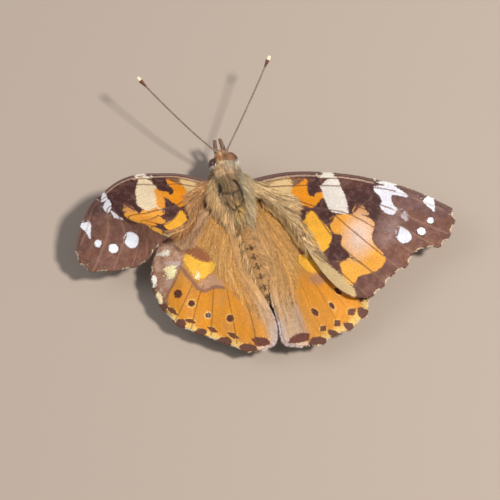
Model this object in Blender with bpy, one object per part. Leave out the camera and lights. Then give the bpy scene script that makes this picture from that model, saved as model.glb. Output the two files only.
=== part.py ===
# A painted lady butterfly at rest with its wings open, life size, as a still model.
# The head points to -Y, the butterfly's own left is +X, and +Z is up.
# Lengths below are millimetres. The metre values are made where a mesh is built.
import math

import bmesh
import bpy
import numpy as np
from mathutils import Vector
from mathutils.geometry import delaunay_2d_cdt

MM = 0.001
GAP = 0.3               # clearance between two parts that touch in life
FLOOR = 0.0

# Driving dimensions of the wings
MEMBRANE = 0.52         # thickness of the membrane solid
VEIN_RISE = 0.16        # how far a vein stands out of the membrane on each face
VEIN_HALF_WIDTH = 0.30
MARGIN_STEP = 0.95      # spacing of the points along a wing's edge
VEIN_STEP = 1.5
CELL_STEP = 2.1         # spacing of the points inside the cells
SCALLOP = 0.22          # depth of the bays between vein ends on the outer margin

# Driving dimensions of the body
THORAX_X = 0.30
THORAX_Z = 5.2
THORAX_HALF_WIDTH = 3.2
THORAX_HALF_HEIGHT = 2.7
THORAX_FRONT = -3.8
THORAX_REAR = 5.2
HEAD_X = -0.25
HEAD_Y = -5.4
HEAD_Z = 5.1
HEAD_HALF_WIDTH = 1.25
EYE_RADIUS = 1.02
ABDOMEN_REAR = 18.3
ABDOMEN_RADIUS = 1.72
LEG_RADIUS = 0.31
FOOT_RADIUS = 0.26
SOLE_Z = 0.21           # the foot's middle above the floor, a little under its radius

# Forewing, flat: u runs from the hinge to the tip, v towards the leading edge
FOREWING_COSTA = [(-1.6, 0.6), (0.4, 1.5), (2.6, 2.5), (5.5, 3.5), (9.4, 4.2), (14.0, 4.5), (17.8, 4.3),
                  (21.2, 3.9), (24.4, 3.2), (27.4, 2.2)]
FOREWING_MARGIN = [(29.3, 1.2), (29.9, -0.2), (29.5, -2.1), (27.8, -4.7), (25.4, -7.1),
                   (23.3, -9.3), (21.6, -11.6), (19.4, -13.6)]
# The right forewing is worn: its outer margin is hollow between the second and fifth vein ends
FOREWING_RIGHT_MARGIN = [(29.3, 1.5), (30.0, -0.5), (29.6, -2.8), (28.4, -4.6), (26.3, -4.9),
                         (24.9, -6.0), (24.2, -8.3), (22.3, -9.9), (21.2, -11.9), (19.6, -13.8)]
FOREWING_DORSUM = [(17.6, -14.2), (15.7, -13.7), (13.5, -12.2), (10.6, -9.3), (7.8, -6.4),
                   (4.0, -3.4), (1.2, -1.7), (-1.2, -1.5)]
FOREWING_VEINS = {
    "subcosta": [(1.5, 1.1), (6.0, 2.6), (12.6, 3.6)],
    "radius": [(1.6, 0.3), (7.4, 1.6), (14.6, 2.6), (20.4, 2.9), (28.2, 1.0)],
    "media 1": [(14.9, 1.1), (20.2, 0.2), (25.0, -1.2), (28.7, -2.2)],
    "media 2": [(15.0, -0.1), (20.0, -1.5), (27.0, -4.1)],
    "cell end": [(14.6, 2.2), (14.9, 0.4), (14.5, -1.2)],
    "cubitus": [(1.9, -0.6), (6.0, -1.0), (10.6, -1.6), (14.6, -1.7), (18.8, -3.2), (25.2, -6.2)],
    "cubitus 1": [(13.0, -2.4), (15.7, -4.1), (22.8, -8.6)],
    "cubitus 2": [(9.6, -2.4), (14.3, -6.6), (20.9, -11.0)],
    "anal": [(2.6, -1.5), (8.0, -4.6), (13.3, -9.5), (18.2, -13.2)],
}

# Hindwing, flat: u runs from the hinge to the margin, v towards the leading edge
HINDWING_COSTA = [(-2.6, -1.5), (-3.9, 0.4), (-4.4, 2.4), (-4.0, 4.4), (-2.2, 5.6), (0.9, 6.7),
                  (4.3, 8.3)]
HINDWING_MARGIN = [(8.1, 9.1), (10.2, 8.9), (12.2, 8.2), (14.6, 6.7), (16.9, 4.0), (17.7, 0.6),
                   (18.4, -2.8), (19.3, -6.2)]
HINDWING_DORSUM = [(18.7, -7.9), (17.5, -9.3), (16.2, -9.5), (14.4, -9.2), (12.1, -8.5),
                   (6.8, -6.5), (2.4, -4.4), (-0.1, -2.7)]
HINDWING_VEINS = {
    "subcosta": [(-0.4, 1.6), (2.2, 5.6), (7.6, 8.6)],
    "radial sector": [(0.6, 1.0), (4.6, 4.8), (11.6, 8.2)],
    "media 1": [(4.6, 3.4), (8.3, 4.8), (11.9, 6.0), (13.6, 6.6)],
    "media 2": [(7.2, 2.6), (11.5, 3.3), (15.8, 4.4)],
    "media 3": [(9.2, 1.2), (11.9, 1.8), (16.6, 2.0)],
    "cubitus 1": [(0.9, 0.0), (5.0, 0.2), (10.6, -0.1), (17.1, -0.9)],
    "cubitus 2": [(5.6, -0.9), (10.6, -2.4), (17.8, -4.5)],
    "anal": [(0.8, -1.2), (8.0, -4.3), (17.8, -7.2)],
}

# Where named places of each wing lie in the pose: flat place, then x, y and height
FOREWING_RIGHT_PLACES = {
    "front of hinge": ((0.1, 1.4), (-3.1, -0.6, 6.3)),
    "rear of hinge": ((1.5, -1.2), (-4.4, 2.4, 6.2)),
    "inner costa": ((9.4, 4.2), (-12.5, 1.2, 6.7)),
    "middle costa": ((17.8, 4.2), (-20.1, 4.8, 6.6)),
    "outer costa": ((24.4, 3.1), (-25.7, 8.3, 5.8)),
    "tip": ((29.6, 1.2), (-29.7, 11.8, 4.8)),
    "upper margin": ((27.8, -4.8), (-25.3, 16.5, 4.6)),
    "lower margin": ((23.3, -9.3), (-19.2, 18.6, 4.9)),
    "rear corner": ((18.5, -14.0), (-13.0, 21.0, 5.6)),
    "dorsum": ((10.6, -9.3), (-7.8, 13.7, 6.6)),
    "end of cell": ((14.3, -1.5), (-14.4, 8.4, 6.9)),
}
# This wing is buckled: its inner part rises to a crease, and its outer part slopes down from it
FOREWING_LEFT_PLACES = {
    "front of hinge": ((0.1, 1.4), (3.0, -2.4, 6.3)),
    "rear of hinge": ((1.5, -1.2), (4.5, -0.6, 6.3)),
    "inner costa": ((10.3, 4.2), (11.7, -4.9, 8.6)),
    "middle costa": ((17.8, 4.2), (18.3, -3.9, 8.0)),
    "outer costa": ((24.4, 3.1), (22.0, -1.2, 6.6)),
    "bar in cell": ((8.9, 1.6), (9.6, -2.3, 8.4)),
    "base of cell": ((8.0, 0.3), (8.1, -1.3, 8.2)),
    "below cell base": ((7.8, -3.0), (7.5, 2.5, 7.8)),
    "dorsum": ((10.1, -7.9), (9.5, 4.8, 8.2)),
    "below cell": ((11.2, -1.9), (9.9, 1.6, 9.0)),
    "outer cell": ((13.7, 0.8), (13.6, -1.9, 9.4)),
    "end of cell": ((14.3, -1.5), (13.2, 1.3, 9.6)),
    "crease by bar": ((19.0, 0.6), (17.5, -1.6, 8.8)),
    "crease upper": ((18.2, -2.5), (15.9, 0.9, 9.4)),
    "crease lower": ((19.6, -8.0), (13.7, 3.2, 9.0)),
    "crease rear": ((17.0, -11.4), (12.0, 4.4, 8.4)),
    "below crease by bar": ((20.6, -0.3), (17.9, -1.0, 8.4)),
    "below crease": ((21.0, -3.4), (15.5, 2.1, 8.2)),
    "large spot": ((23.1, -3.7), (16.0, 3.6, 7.0)),
    "first spot": ((26.6, -0.8), (20.7, 2.3, 6.2)),
    "second spot": ((25.6, -2.6), (18.8, 3.7, 6.2)),
    "tip": ((29.6, 1.2), (24.2, 2.1, 5.2)),
    "margin below tip": ((29.5, -2.1), (22.8, 5.5, 4.6)),
    "upper margin": ((27.8, -4.8), (19.4, 6.5, 4.6)),
    "middle margin": ((25.4, -7.1), (16.4, 6.8, 5.0)),
    "lower margin": ((23.3, -9.3), (14.4, 6.4, 5.6)),
    "rear corner": ((18.5, -14.0), (11.8, 5.1, 7.2)),
}
HINDWING_RIGHT_PLACES = {
    "hinge": ((-0.8, -0.5), (-2.3, 5.4, 5.2)),
    "under forewing": ((-3.3, 3.3), (-4.3, 2.5, 4.95)),
    "inner costa": ((0.9, 6.1), (-8.3, 6.5, 5.2)),
    "front corner": ((8.1, 9.4), (-13.4, 15.2, 4.4)),
    "first spot": ((13.3, 2.7), (-10.0, 18.9, 4.8)),
    "second spot": ((14.7, 0.0), (-8.5, 20.6, 4.6)),
    "third spot": ((14.7, -3.1), (-6.0, 20.9, 4.6)),
    "first margin": ((15.1, 6.4), (-14.6, 20.7, 3.8)),
    "second margin": ((17.5, 0.8), (-10.3, 24.1, 3.4)),
    "third margin": ((18.1, -3.0), (-7.5, 24.2, 3.4)),
    "fourth margin": ((19.0, -6.5), (-5.1, 25.1, 3.6)),
    "rear corner": ((18.0, -8.7), (-1.7, 24.3, 3.8)),
    "rear inner edge": ((14.4, -9.2), (-0.9, 20.8, 4.2)),
    "middle inner edge": ((12.1, -8.5), (-0.9, 18.2, 4.6)),
    "front inner edge": ((6.8, -6.5), (-1.5, 12.8, 5.0)),
}
HINDWING_LEFT_PLACES = {
    "hinge": ((-0.8, -0.5), (1.2, 3.5, 5.2)),
    "under forewing": ((-2.6, 3.7), (4.2, 0.2, 4.95)),
    "inner costa": ((0.9, 6.1), (8.2, 2.2, 5.4)),
    "front corner": ((8.1, 9.4), (14.2, 6.7, 4.4)),
    "outer margin": ((12.3, 8.5), (15.2, 10.7, 3.8)),
    "middle margin": ((17.2, 4.2), (13.4, 16.8, 3.4)),
    "lower margin": ((18.7, -2.6), (7.9, 21.2, 3.4)),
    "rear corner": ((18.0, -8.7), (1.9, 23.4, 3.6)),
    "rear inner edge": ((14.4, -9.2), (0.05, 20.5, 4.2)),
    "middle inner edge": ((12.1, -8.5), (0.3, 18.1, 4.6)),
    "front inner edge": ((6.8, -6.5), (1.3, 12.2, 5.0)),
    "first spot": ((13.3, 2.7), (10.4, 14.5, 4.6)),
    "end of cell": ((9.2, 0.1), (6.4, 12.3, 5.4)),
}


# General helpers
def clear_scene():
    for old in list(bpy.data.objects):
        bpy.data.objects.remove(old, do_unlink=True)


def material(name, colour, roughness, metallic=0.0):
    made = bpy.data.materials.new(name)
    made.use_nodes = True
    shader = made.node_tree.nodes["Principled BSDF"]
    shader.inputs["Base Color"].default_value = (*colour, 1.0)
    shader.inputs["Roughness"].default_value = roughness
    shader.inputs["Metallic"].default_value = metallic
    return made


def object_from(name, points, faces, finish):
    mesh = bpy.data.meshes.new(name)
    mesh.from_pydata([tuple(np.asarray(p) * MM) for p in points], [], faces)
    work = bmesh.new()
    work.from_mesh(mesh)
    bmesh.ops.recalc_face_normals(work, faces=work.faces)
    work.to_mesh(mesh)
    work.free()
    mesh.update()
    mesh.materials.append(finish)
    made = bpy.data.objects.new(name, mesh)
    bpy.context.scene.collection.objects.link(made)
    return made


def smooth_curve(points, step, closed=False):
    """Points about step apart on a smooth curve through the given points."""
    points = [np.asarray(p, dtype=float) for p in points]
    count = len(points)
    result = []
    for index in range(count if closed else count - 1):
        if closed:
            before, start, end, after = (points[(index + k) % count] for k in (-1, 0, 1, 2))
        else:
            start, end = points[index], points[index + 1]
            before = points[index - 1] if index else 2 * start - end
            after = points[index + 2] if index + 2 < count else 2 * end - start
        pieces = max(1, round(float(np.linalg.norm(end - start)) / step))
        for piece in range(pieces):
            t = piece / pieces
            result.append(0.5 * (2 * start + (end - before) * t
                                 + (2 * before - 5 * start + 4 * end - after) * t ** 2
                                 + (3 * start - before - 3 * end + after) * t ** 3))
    if not closed:
        result.append(points[-1])
    return result


def apply_modifiers(made):
    depsgraph = bpy.context.evaluated_depsgraph_get()
    mesh = bpy.data.meshes.new_from_object(made.evaluated_get(depsgraph))
    made.modifiers.clear()
    made.data = mesh


def keep_largest(made):
    """Keeps the largest closed surface of an object."""
    work = bmesh.new()
    work.from_mesh(made.data)
    bmesh.ops.remove_doubles(work, verts=work.verts, dist=0.000004)
    unseen = set(work.verts)
    groups = []
    while unseen:
        first = unseen.pop()
        group = {first}
        stack = [first]
        while stack:
            for edge in stack.pop().link_edges:
                for vert in edge.verts:
                    if vert in unseen:
                        unseen.discard(vert)
                        group.add(vert)
                        stack.append(vert)
        groups.append(group)
    largest = max(groups, key=len)
    bmesh.ops.delete(work, geom=[v for v in work.verts if v not in largest], context="VERTS")
    bmesh.ops.triangulate(work, faces=work.faces)
    work.to_mesh(made.data)
    work.free()
    made.data.update()


def join_all(made, extras):
    """Fuses the extra closed pieces into an object as one body."""
    holder = bpy.data.collections.new("pieces of " + made.name)
    bpy.context.scene.collection.children.link(holder)
    for extra in extras:
        bpy.context.scene.collection.objects.unlink(extra)
        holder.objects.link(extra)
    union = made.modifiers.new("join", "BOOLEAN")
    union.operation = "UNION"
    union.operand_type = "COLLECTION"
    union.collection = holder
    union.solver = "EXACT"
    apply_modifiers(made)
    for extra in extras:
        bpy.data.objects.remove(extra, do_unlink=True)
    bpy.data.collections.remove(holder)
    keep_largest(made)


def cut_clear_of(made, cutter):
    """Cuts an object back to the surface of a swollen neighbour."""
    cut = made.modifiers.new("cut", "BOOLEAN")
    cut.operation = "DIFFERENCE"
    cut.object = cutter
    cut.solver = "EXACT"
    apply_modifiers(made)
    keep_largest(made)


# Round bodies: rings of points along a spine
def lofted(name, stations, sides, finish, swell=0.0):
    """Stations are centre, half width, half height and lean of the ring about X, in order."""
    points = []
    for (cx, cy, cz), half_width, half_height, lean in stations:
        for side in range(sides):
            angle = math.tau * side / sides
            rise = (half_height + swell) * math.sin(angle)
            points.append((cx + (half_width + swell) * math.cos(angle),
                           cy + rise * math.sin(lean), cz + rise * math.cos(lean)))
    faces = []
    for ring in range(len(stations) - 1):
        for side in range(sides):
            following = (side + 1) % sides
            faces.append((ring * sides + side, ring * sides + following,
                          (ring + 1) * sides + following, (ring + 1) * sides + side))
    for ring, sign in ((0, -1.0), (len(stations) - 1, 1.0)):
        (cx, cy, cz), half_width, half_height, lean = stations[ring]
        points.append((cx, cy + sign * (0.35 * min(half_width, half_height) + swell), cz))
        tip = len(points) - 1
        for side in range(sides):
            faces.append((ring * sides + side, ring * sides + (side + 1) % sides, tip))
    return object_from(name, points, faces, finish)


def ball(name, centre, radii, segments, rings, finish):
    """An ellipsoid of latitude rings about its vertical axis."""
    points = []
    for ring in range(1, rings):
        height = math.pi * ring / rings
        for segment in range(segments):
            turn = math.tau * segment / segments
            points.append((centre[0] + radii[0] * math.sin(height) * math.cos(turn),
                           centre[1] + radii[1] * math.sin(height) * math.sin(turn),
                           centre[2] + radii[2] * math.cos(height)))
    points.append((centre[0], centre[1], centre[2] + radii[2]))
    points.append((centre[0], centre[1], centre[2] - radii[2]))
    top = len(points) - 2
    faces = []
    for ring in range(rings - 2):
        for segment in range(segments):
            following = (segment + 1) % segments
            faces.append((ring * segments + segment, ring * segments + following,
                          (ring + 1) * segments + following, (ring + 1) * segments + segment))
    last = (rings - 2) * segments
    for segment in range(segments):
        following = (segment + 1) % segments
        faces.append((segment, following, top))
        faces.append((last + segment, last + following, top + 1))
    return object_from(name, points, faces, finish)


def tube(name, route, radii, sides, finish, floor=None):
    """A round rod along a route. Points below the floor are brought up to it, as a flat sole."""
    route = [Vector(p) for p in route]
    count = len(route)
    points = []
    normal = None
    for index, centre in enumerate(route):
        ahead = route[min(index + 1, count - 1)] - route[max(index - 1, 0)]
        ahead.normalize()
        if normal is None:
            normal = ahead.cross(Vector((0, 0, 1)))
            if normal.length < 0.2:
                normal = ahead.cross(Vector((0, 1, 0)))
        normal = (normal - ahead * normal.dot(ahead)).normalized()
        other = ahead.cross(normal)
        for side in range(sides):
            angle = math.tau * (side + 0.5) / sides
            point = centre + radii[index] * (normal * math.cos(angle) + other * math.sin(angle))
            if floor is not None:
                point.z = max(point.z, floor)
            points.append(tuple(point))
    faces = []
    for ring in range(count - 1):
        for side in range(sides):
            following = (side + 1) % sides
            faces.append((ring * sides + side, ring * sides + following,
                          (ring + 1) * sides + following, (ring + 1) * sides + side))
    faces.append(tuple(range(sides)))
    faces.append(tuple(range((count - 1) * sides, count * sides)))
    return object_from(name, points, faces, finish)


# Wings
class Placement:
    """Carries flat wing places to the pose by a thin plate through the named places."""

    def __init__(self, places):
        self.flat = np.array([pair[0] for pair in places.values()], dtype=float)
        posed = np.array([pair[1] for pair in places.values()], dtype=float)
        count = len(self.flat)
        bend = self.kernel(self.flat)
        plain = np.column_stack([np.ones(count), self.flat])
        system = np.block([[bend, plain], [plain.T, np.zeros((3, 3))]])
        self.weights = np.linalg.solve(system, np.vstack([posed, np.zeros((3, 3))]))

    def kernel(self, where):
        gap = np.sum((where[:, None, :] - self.flat[None, :, :]) ** 2, axis=-1)
        return gap * np.log(np.maximum(gap, 1e-12))

    def at(self, where):
        where = np.atleast_2d(np.asarray(where, dtype=float))
        count = len(self.flat)
        plain = np.column_stack([np.ones(len(where)), where])
        return self.kernel(where) @ self.weights[:count] + plain @ self.weights[count:]

    def normals(self, where):
        where = np.atleast_2d(np.asarray(where, dtype=float))
        small = 0.05
        along = self.at(where + (small, 0)) - self.at(where - (small, 0))
        across = self.at(where + (0, small)) - self.at(where - (0, small))
        normal = np.cross(along, across)
        normal /= np.linalg.norm(normal, axis=1)[:, None]
        return normal * np.sign(normal[:, 2:3])


def scalloped(margin, step):
    """The outer margin with a shallow bay between each pair of its given points."""
    curve = []
    for start, end in zip(margin[:-1], margin[1:]):
        start, end = np.asarray(start, dtype=float), np.asarray(end, dtype=float)
        along = end - start
        length = float(np.linalg.norm(along))
        inward = np.array([along[1], -along[0]]) / length
        pieces = max(3, round(length / step))
        for piece in range(pieces):
            t = piece / pieces
            bulge = 0.30 * math.sin(math.pi * t)
            bay = SCALLOP * math.sin(math.pi * t) ** 2 * 2.2
            curve.append(start + along * t + inward * (bay - bulge))
    curve.append(np.asarray(margin[-1], dtype=float))
    return curve


def inside(point, outline):
    """Whether a flat point lies inside a closed outline."""
    crossings = 0
    for start, end in zip(outline, outline[1:] + outline[:1]):
        if (start[1] > point[1]) != (end[1] > point[1]):
            share = (point[1] - start[1]) / (end[1] - start[1])
            if point[0] < start[0] + share * (end[0] - start[0]):
                crossings += 1
    return crossings % 2 == 1


def nearest(point, others):
    return min(float(np.hypot(point[0] - p[0], point[1] - p[1])) for p in others)


def flat_wing(costa, margin, dorsum, veins):
    """The flat points of a wing, the share of the vein's height at each, and its triangles."""
    front = smooth_curve(costa + margin[:1], MARGIN_STEP)[:-1]
    rear = smooth_curve(margin[-1:] + dorsum + costa[:1], MARGIN_STEP)[1:-1]
    outline = front + scalloped(margin, MARGIN_STEP) + rear
    points = list(outline)
    rises = [0.35] * len(front) + [0.0] * (len(outline) - len(front))
    edges = [(i, (i + 1) % len(outline)) for i in range(len(outline))]
    for route in veins.values():
        curve = smooth_curve(route, VEIN_STEP)
        for side, rise in ((0.0, 1.0), (VEIN_HALF_WIDTH, 0.0), (-VEIN_HALF_WIDTH, 0.0)):
            last = None
            for index, place in enumerate(curve):
                ahead = curve[min(index + 1, len(curve) - 1)] - curve[max(index - 1, 0)]
                ahead = ahead / np.linalg.norm(ahead)
                spot = place + side * np.array([-ahead[1], ahead[0]])
                near = nearest(spot, points)
                if near < (0.24 if rise else 0.26) or not inside(spot, outline):
                    last = None
                    continue
                points.append(spot)
                rises.append(rise)
                if last is not None and rise:
                    edges.append((last, len(points) - 1))
                last = len(points) - 1
    low = np.min(outline, axis=0)
    high = np.max(outline, axis=0)
    rows = int((high[1] - low[1]) / CELL_STEP) + 1
    columns = int((high[0] - low[0]) / CELL_STEP) + 1
    for row in range(rows):
        for column in range(columns):
            spot = low + CELL_STEP * np.array([column + 0.5 * (row % 2), row + 0.5])
            if inside(spot, outline) and nearest(spot, points) > 0.42 * CELL_STEP:
                points.append(spot)
                rises.append(0.0)
    flat = [Vector((float(p[0]), float(p[1]))) for p in points]
    border = list(range(len(outline)))
    verts, _, faces, origin, _, _ = delaunay_2d_cdt(flat, edges, [border], 1, 0.0001)
    heights = []
    for sources in origin:
        heights.append(max((rises[s] for s in sources), default=0.0))
    return np.array([tuple(v) for v in verts]), np.array(heights), [tuple(f) for f in faces]


def wing(name, flat, placement, finish):
    """A wing solid: one pattern of triangles on both faces, with the veins raised."""
    places, rises, triangles = flat
    middle = placement.at(places)
    normal = placement.normals(places)
    reach = (0.5 * MEMBRANE + VEIN_RISE * rises)[:, None]
    points = np.vstack([middle + normal * reach, middle - normal * reach])
    count = len(places)
    used = {}
    faces = []
    for a, b, c in triangles:
        faces.append((a, b, c))
        faces.append((c + count, b + count, a + count))
        for start, end in ((a, b), (b, c), (c, a)):
            used[(start, end)] = True
    for start, end in used:
        if (end, start) not in used:
            faces.append((start, start + count, end + count))
            faces.append((start, end + count, end))
    return object_from(name, points, faces, finish)


# Body
def thorax_stations():
    """Rings from the collar to the waist. The back is highest above the wing hinges."""
    shape = [(0.00, 0.46, 0.52), (0.10, 0.72, 0.74), (0.24, 0.90, 0.92), (0.42, 1.00, 1.00),
             (0.60, 0.98, 0.98), (0.76, 0.86, 0.86), (0.90, 0.68, 0.72), (1.00, 0.52, 0.60)]
    length = THORAX_REAR - THORAX_FRONT
    stations = []
    for along, wide, tall in shape:
        centre = (THORAX_X - 0.10 * abs(along - 0.5), THORAX_FRONT + along * length, THORAX_Z)
        stations.append((centre, THORAX_HALF_WIDTH * wide, THORAX_HALF_HEIGHT * tall, 0.0))
    return stations


def build_thorax(finish):
    made = lofted("thorax", thorax_stations(), 22, finish)
    extras = []
    for side in (-1, 1):
        extras.append(ball("tegula", (THORAX_X + side * 2.15, -1.5, THORAX_Z + 1.35),
                           (0.95, 1.75, 0.95), 12, 8, finish))
        extras.append(ball("collar", (THORAX_X + side * 0.75, -3.2, THORAX_Z + 1.25),
                           (0.95, 0.80, 0.75), 10, 7, finish))
    extras.append(ball("scutellum", (THORAX_X - 0.05, 3.6, THORAX_Z + 1.85),
                       (1.15, 0.95, 0.65), 12, 7, finish))
    join_all(made, extras)
    return made


def abdomen_centre(along):
    """Centre of the abdomen from its waist, 0, to its tip, 1."""
    return (0.15 - 0.45 * along,
            THORAX_REAR + GAP + 0.75 + along * (ABDOMEN_REAR - THORAX_REAR - GAP - 1.05),
            4.75 - 0.35 * along - 1.10 * along ** 2)


def abdomen_radius(along):
    """Radius of the abdomen, widest over its third segment."""
    return ABDOMEN_RADIUS * (0.80 + 0.75 * along - 0.95 * along ** 2) * (1.0 - 0.42 * along ** 4)


def abdomen_stations():
    segments = 8
    stations = []
    for segment in range(segments):
        for step, lift in ((0.05, 0.955), (0.35, 1.0), (0.90, 1.0)):
            along = (segment + step) / segments
            radius = abdomen_radius(along) * lift
            stations.append((abdomen_centre(along), radius, radius * 0.96, 0.0))
    last = abdomen_radius(1.0)
    stations.append((abdomen_centre(1.0), last * 0.55, last * 0.52, 0.0))
    return stations


def build_head(finish):
    centre = (HEAD_X, HEAD_Y, HEAD_Z)
    made = ball("head", centre, (HEAD_HALF_WIDTH, 1.20, 1.42), 18, 12, finish)
    crown = ball("crown", (HEAD_X, HEAD_Y - 0.15, HEAD_Z + 0.90), (1.15, 0.95, 0.66), 14, 8, finish)
    face = ball("face", (HEAD_X, HEAD_Y - 0.9, HEAD_Z - 0.35), (0.72, 0.62, 0.85), 12, 8, finish)
    join_all(made, [crown, face])
    return made


def antenna_route(base, bend, far, tip):
    return [tuple(p) for p in smooth_curve([base, bend, far, tip], 0.75)]


def antenna_radii(count):
    """A thin shaft with a club on its last seventh."""
    radii = []
    for index in range(count):
        along = index / (count - 1)
        club = max(0.0, 1.0 - abs(along - 0.935) / 0.085)
        radii.append(0.25 + 0.22 * min(1.0, 1.4 * club) + 0.03 * math.exp(-12.0 * along))
    radii[-1] = 0.24
    return radii


def build_leg(name, side, corners, finish):
    """Hip to knee to ankle in slightly bowed lengths, with the foot flat along the floor."""
    hip_to_toe = [np.array((THORAX_X + side * x, y, z)) for x, y, z in corners]
    sizes = (1.25 * LEG_RADIUS, LEG_RADIUS, 0.88 * LEG_RADIUS)
    bows = (0.16, 0.16, 0.0)
    pieces = 4
    route = []
    radii = []
    for start, end, size, bow in zip(hip_to_toe[:-1], hip_to_toe[1:], sizes, bows):
        for step in range(pieces):
            t = step / pieces
            swelling = math.sin(math.pi * t)
            route.append(tuple(start + (end - start) * t + np.array([0.0, 0.0, bow * swelling])))
            radii.append(size * (1.0 + 0.12 * swelling))
    route.append(tuple(hip_to_toe[-1]))
    radii.append(0.9 * FOOT_RADIUS)
    return tube(name, route, radii, 8, finish, floor=FLOOR)


def stand_on_centre(objects):
    """Moves the whole animal so that the middle of its box is over the origin."""
    low = np.full(3, 1e9)
    high = np.full(3, -1e9)
    for made in objects:
        for vert in made.data.vertices:
            low = np.minimum(low, vert.co)
            high = np.maximum(high, vert.co)
    shift = Vector((-(low[0] + high[0]) / 2, -(low[1] + high[1]) / 2, -low[2]))
    for made in objects:
        for vert in made.data.vertices:
            vert.co += shift
        made.data.update()


def shade(made, angle=35.0):
    made.data.shade_smooth()
    made.data.set_sharp_from_angle(angle=math.radians(angle))


def build():
    clear_scene()
    orange = material("wing_orange", (0.62, 0.26, 0.05), 0.72)
    tawny = material("body_hair", (0.30, 0.20, 0.09), 0.90)
    pale = material("abdomen_scales", (0.45, 0.28, 0.12), 0.85)
    brown = material("eye_facets", (0.10, 0.05, 0.03), 0.25)
    dark = material("antenna_scales", (0.16, 0.10, 0.07), 0.60)
    buff = material("leg_scales", (0.42, 0.31, 0.20), 0.75)

    thorax = build_thorax(tawny)
    thorax_clear = lofted("thorax clearance", thorax_stations(), 28, tawny, swell=GAP + 0.03)
    tegulae_clear = []
    for side in (-1, 1):
        tegulae_clear.append(ball("tegula clearance", (THORAX_X + side * 2.15, -1.5, THORAX_Z + 1.35),
                                  (0.95 + GAP, 1.75 + GAP, 0.95 + GAP), 16, 10, tawny))
    join_all(thorax_clear, tegulae_clear)

    abdomen = lofted("abdomen", abdomen_stations(), 16, pale)
    abdomen_clear = lofted("abdomen clearance", abdomen_stations(), 24, pale, swell=GAP + 0.04)
    cut_clear_of(abdomen, thorax_clear)

    head = build_head(tawny)
    head_clear = ball("head clearance", (HEAD_X, HEAD_Y, HEAD_Z),
                      (HEAD_HALF_WIDTH + GAP, 1.20 + GAP, 1.42 + GAP), 24, 16, tawny)
    crown_clear = ball("crown clearance", (HEAD_X, HEAD_Y - 0.15, HEAD_Z + 0.90),
                       (1.15 + GAP, 0.95 + GAP, 0.66 + GAP), 16, 12, tawny)
    face_clear = ball("face clearance", (HEAD_X, HEAD_Y - 0.9, HEAD_Z - 0.35),
                      (0.72 + GAP, 0.62 + GAP, 0.85 + GAP), 16, 12, tawny)
    join_all(head_clear, [crown_clear, face_clear])
    cut_clear_of(head, thorax_clear)

    parts = [thorax, abdomen, head]
    eyes_clear = []
    for side, word in ((1, "left"), (-1, "right")):
        centre = (HEAD_X + side * 1.38, HEAD_Y + 0.30, HEAD_Z + 0.12)
        eye = ball("eye_" + word, centre, (0.86, EYE_RADIUS, EYE_RADIUS), 16, 11, brown)
        cut_clear_of(eye, head_clear)
        cut_clear_of(eye, thorax_clear)
        parts.append(eye)
        eyes_clear.append(ball("eye clearance", centre,
                               (0.86 + GAP, EYE_RADIUS + GAP, EYE_RADIUS + GAP), 18, 12, brown))

        palp_route = [(HEAD_X + side * 0.46, HEAD_Y - 0.8, HEAD_Z - 0.55),
                      (HEAD_X + side * 0.55, HEAD_Y - 1.70, HEAD_Z - 0.35),
                      (HEAD_X + side * 0.50, HEAD_Y - 2.40, HEAD_Z + 0.20),
                      (HEAD_X + side * 0.40, HEAD_Y - 3.00, HEAD_Z + 0.75)]
        route = [tuple(p) for p in smooth_curve(palp_route, 0.5)]
        radii = [0.42 * (1.0 - 0.55 * (i / (len(route) - 1)) ** 2) for i in range(len(route))]
        palp = tube("palp_" + word, route, radii, 8, buff)
        cut_clear_of(palp, head_clear)
        parts.append(palp)

    antennae = {
        "left": antenna_route((0.20, -6.1, 6.0), (2.8, -9.7, 7.2), (5.9, -15.0, 8.4), (8.5, -19.9, 9.4)),
        "right": antenna_route((-0.70, -5.8, 6.0), (-3.9, -9.2, 7.2), (-8.0, -13.8, 8.6), (-11.1, -17.5, 9.6)),
    }
    for word, route in antennae.items():
        antenna = tube("antenna_" + word, route, antenna_radii(len(route)), 7, dark)
        cut_clear_of(antenna, head_clear)
        for eye_clear in eyes_clear:
            cut_clear_of(antenna, eye_clear)
        parts.append(antenna)

    forewing = flat_wing(FOREWING_COSTA, FOREWING_MARGIN, FOREWING_DORSUM, FOREWING_VEINS)
    worn = flat_wing(FOREWING_COSTA, FOREWING_RIGHT_MARGIN, FOREWING_DORSUM, FOREWING_VEINS)
    hindwing = flat_wing(HINDWING_COSTA, HINDWING_MARGIN, HINDWING_DORSUM, HINDWING_VEINS)
    wings = (("forewing_right", worn, FOREWING_RIGHT_PLACES),
             ("forewing_left", forewing, FOREWING_LEFT_PLACES),
             ("hindwing_right", hindwing, HINDWING_RIGHT_PLACES),
             ("hindwing_left", hindwing, HINDWING_LEFT_PLACES))
    for name, flat, places in wings:
        made = wing(name, flat, Placement(places), orange)
        cut_clear_of(made, thorax_clear)
        if name.startswith("hind"):
            cut_clear_of(made, abdomen_clear)
        parts.append(made)

    legs = {
        "foreleg": ((0.80, -2.5, 3.9), (1.10, -3.6, 2.6), (1.00, -4.7, 2.4), (0.85, -5.6, 2.55)),
        "midleg": ((1.7, -0.9, 3.4), (4.1, -0.9, 3.3), (5.8, -1.2, SOLE_Z), (7.2, -1.8, SOLE_Z)),
        "hindleg": ((1.5, 2.4, 3.4), (4.0, 5.6, 3.0), (5.2, 9.6, SOLE_Z), (6.0, 12.2, SOLE_Z)),
    }
    for word, corners in legs.items():
        for side, hand in ((1, "left"), (-1, "right")):
            leg = build_leg(word + "_" + hand, side, corners, buff)
            cut_clear_of(leg, thorax_clear)
            parts.append(leg)

    for helper in [thorax_clear, abdomen_clear, head_clear] + eyes_clear:
        bpy.data.objects.remove(helper, do_unlink=True)
    stand_on_centre(parts)
    for made in parts:
        shade(made)


build()
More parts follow.
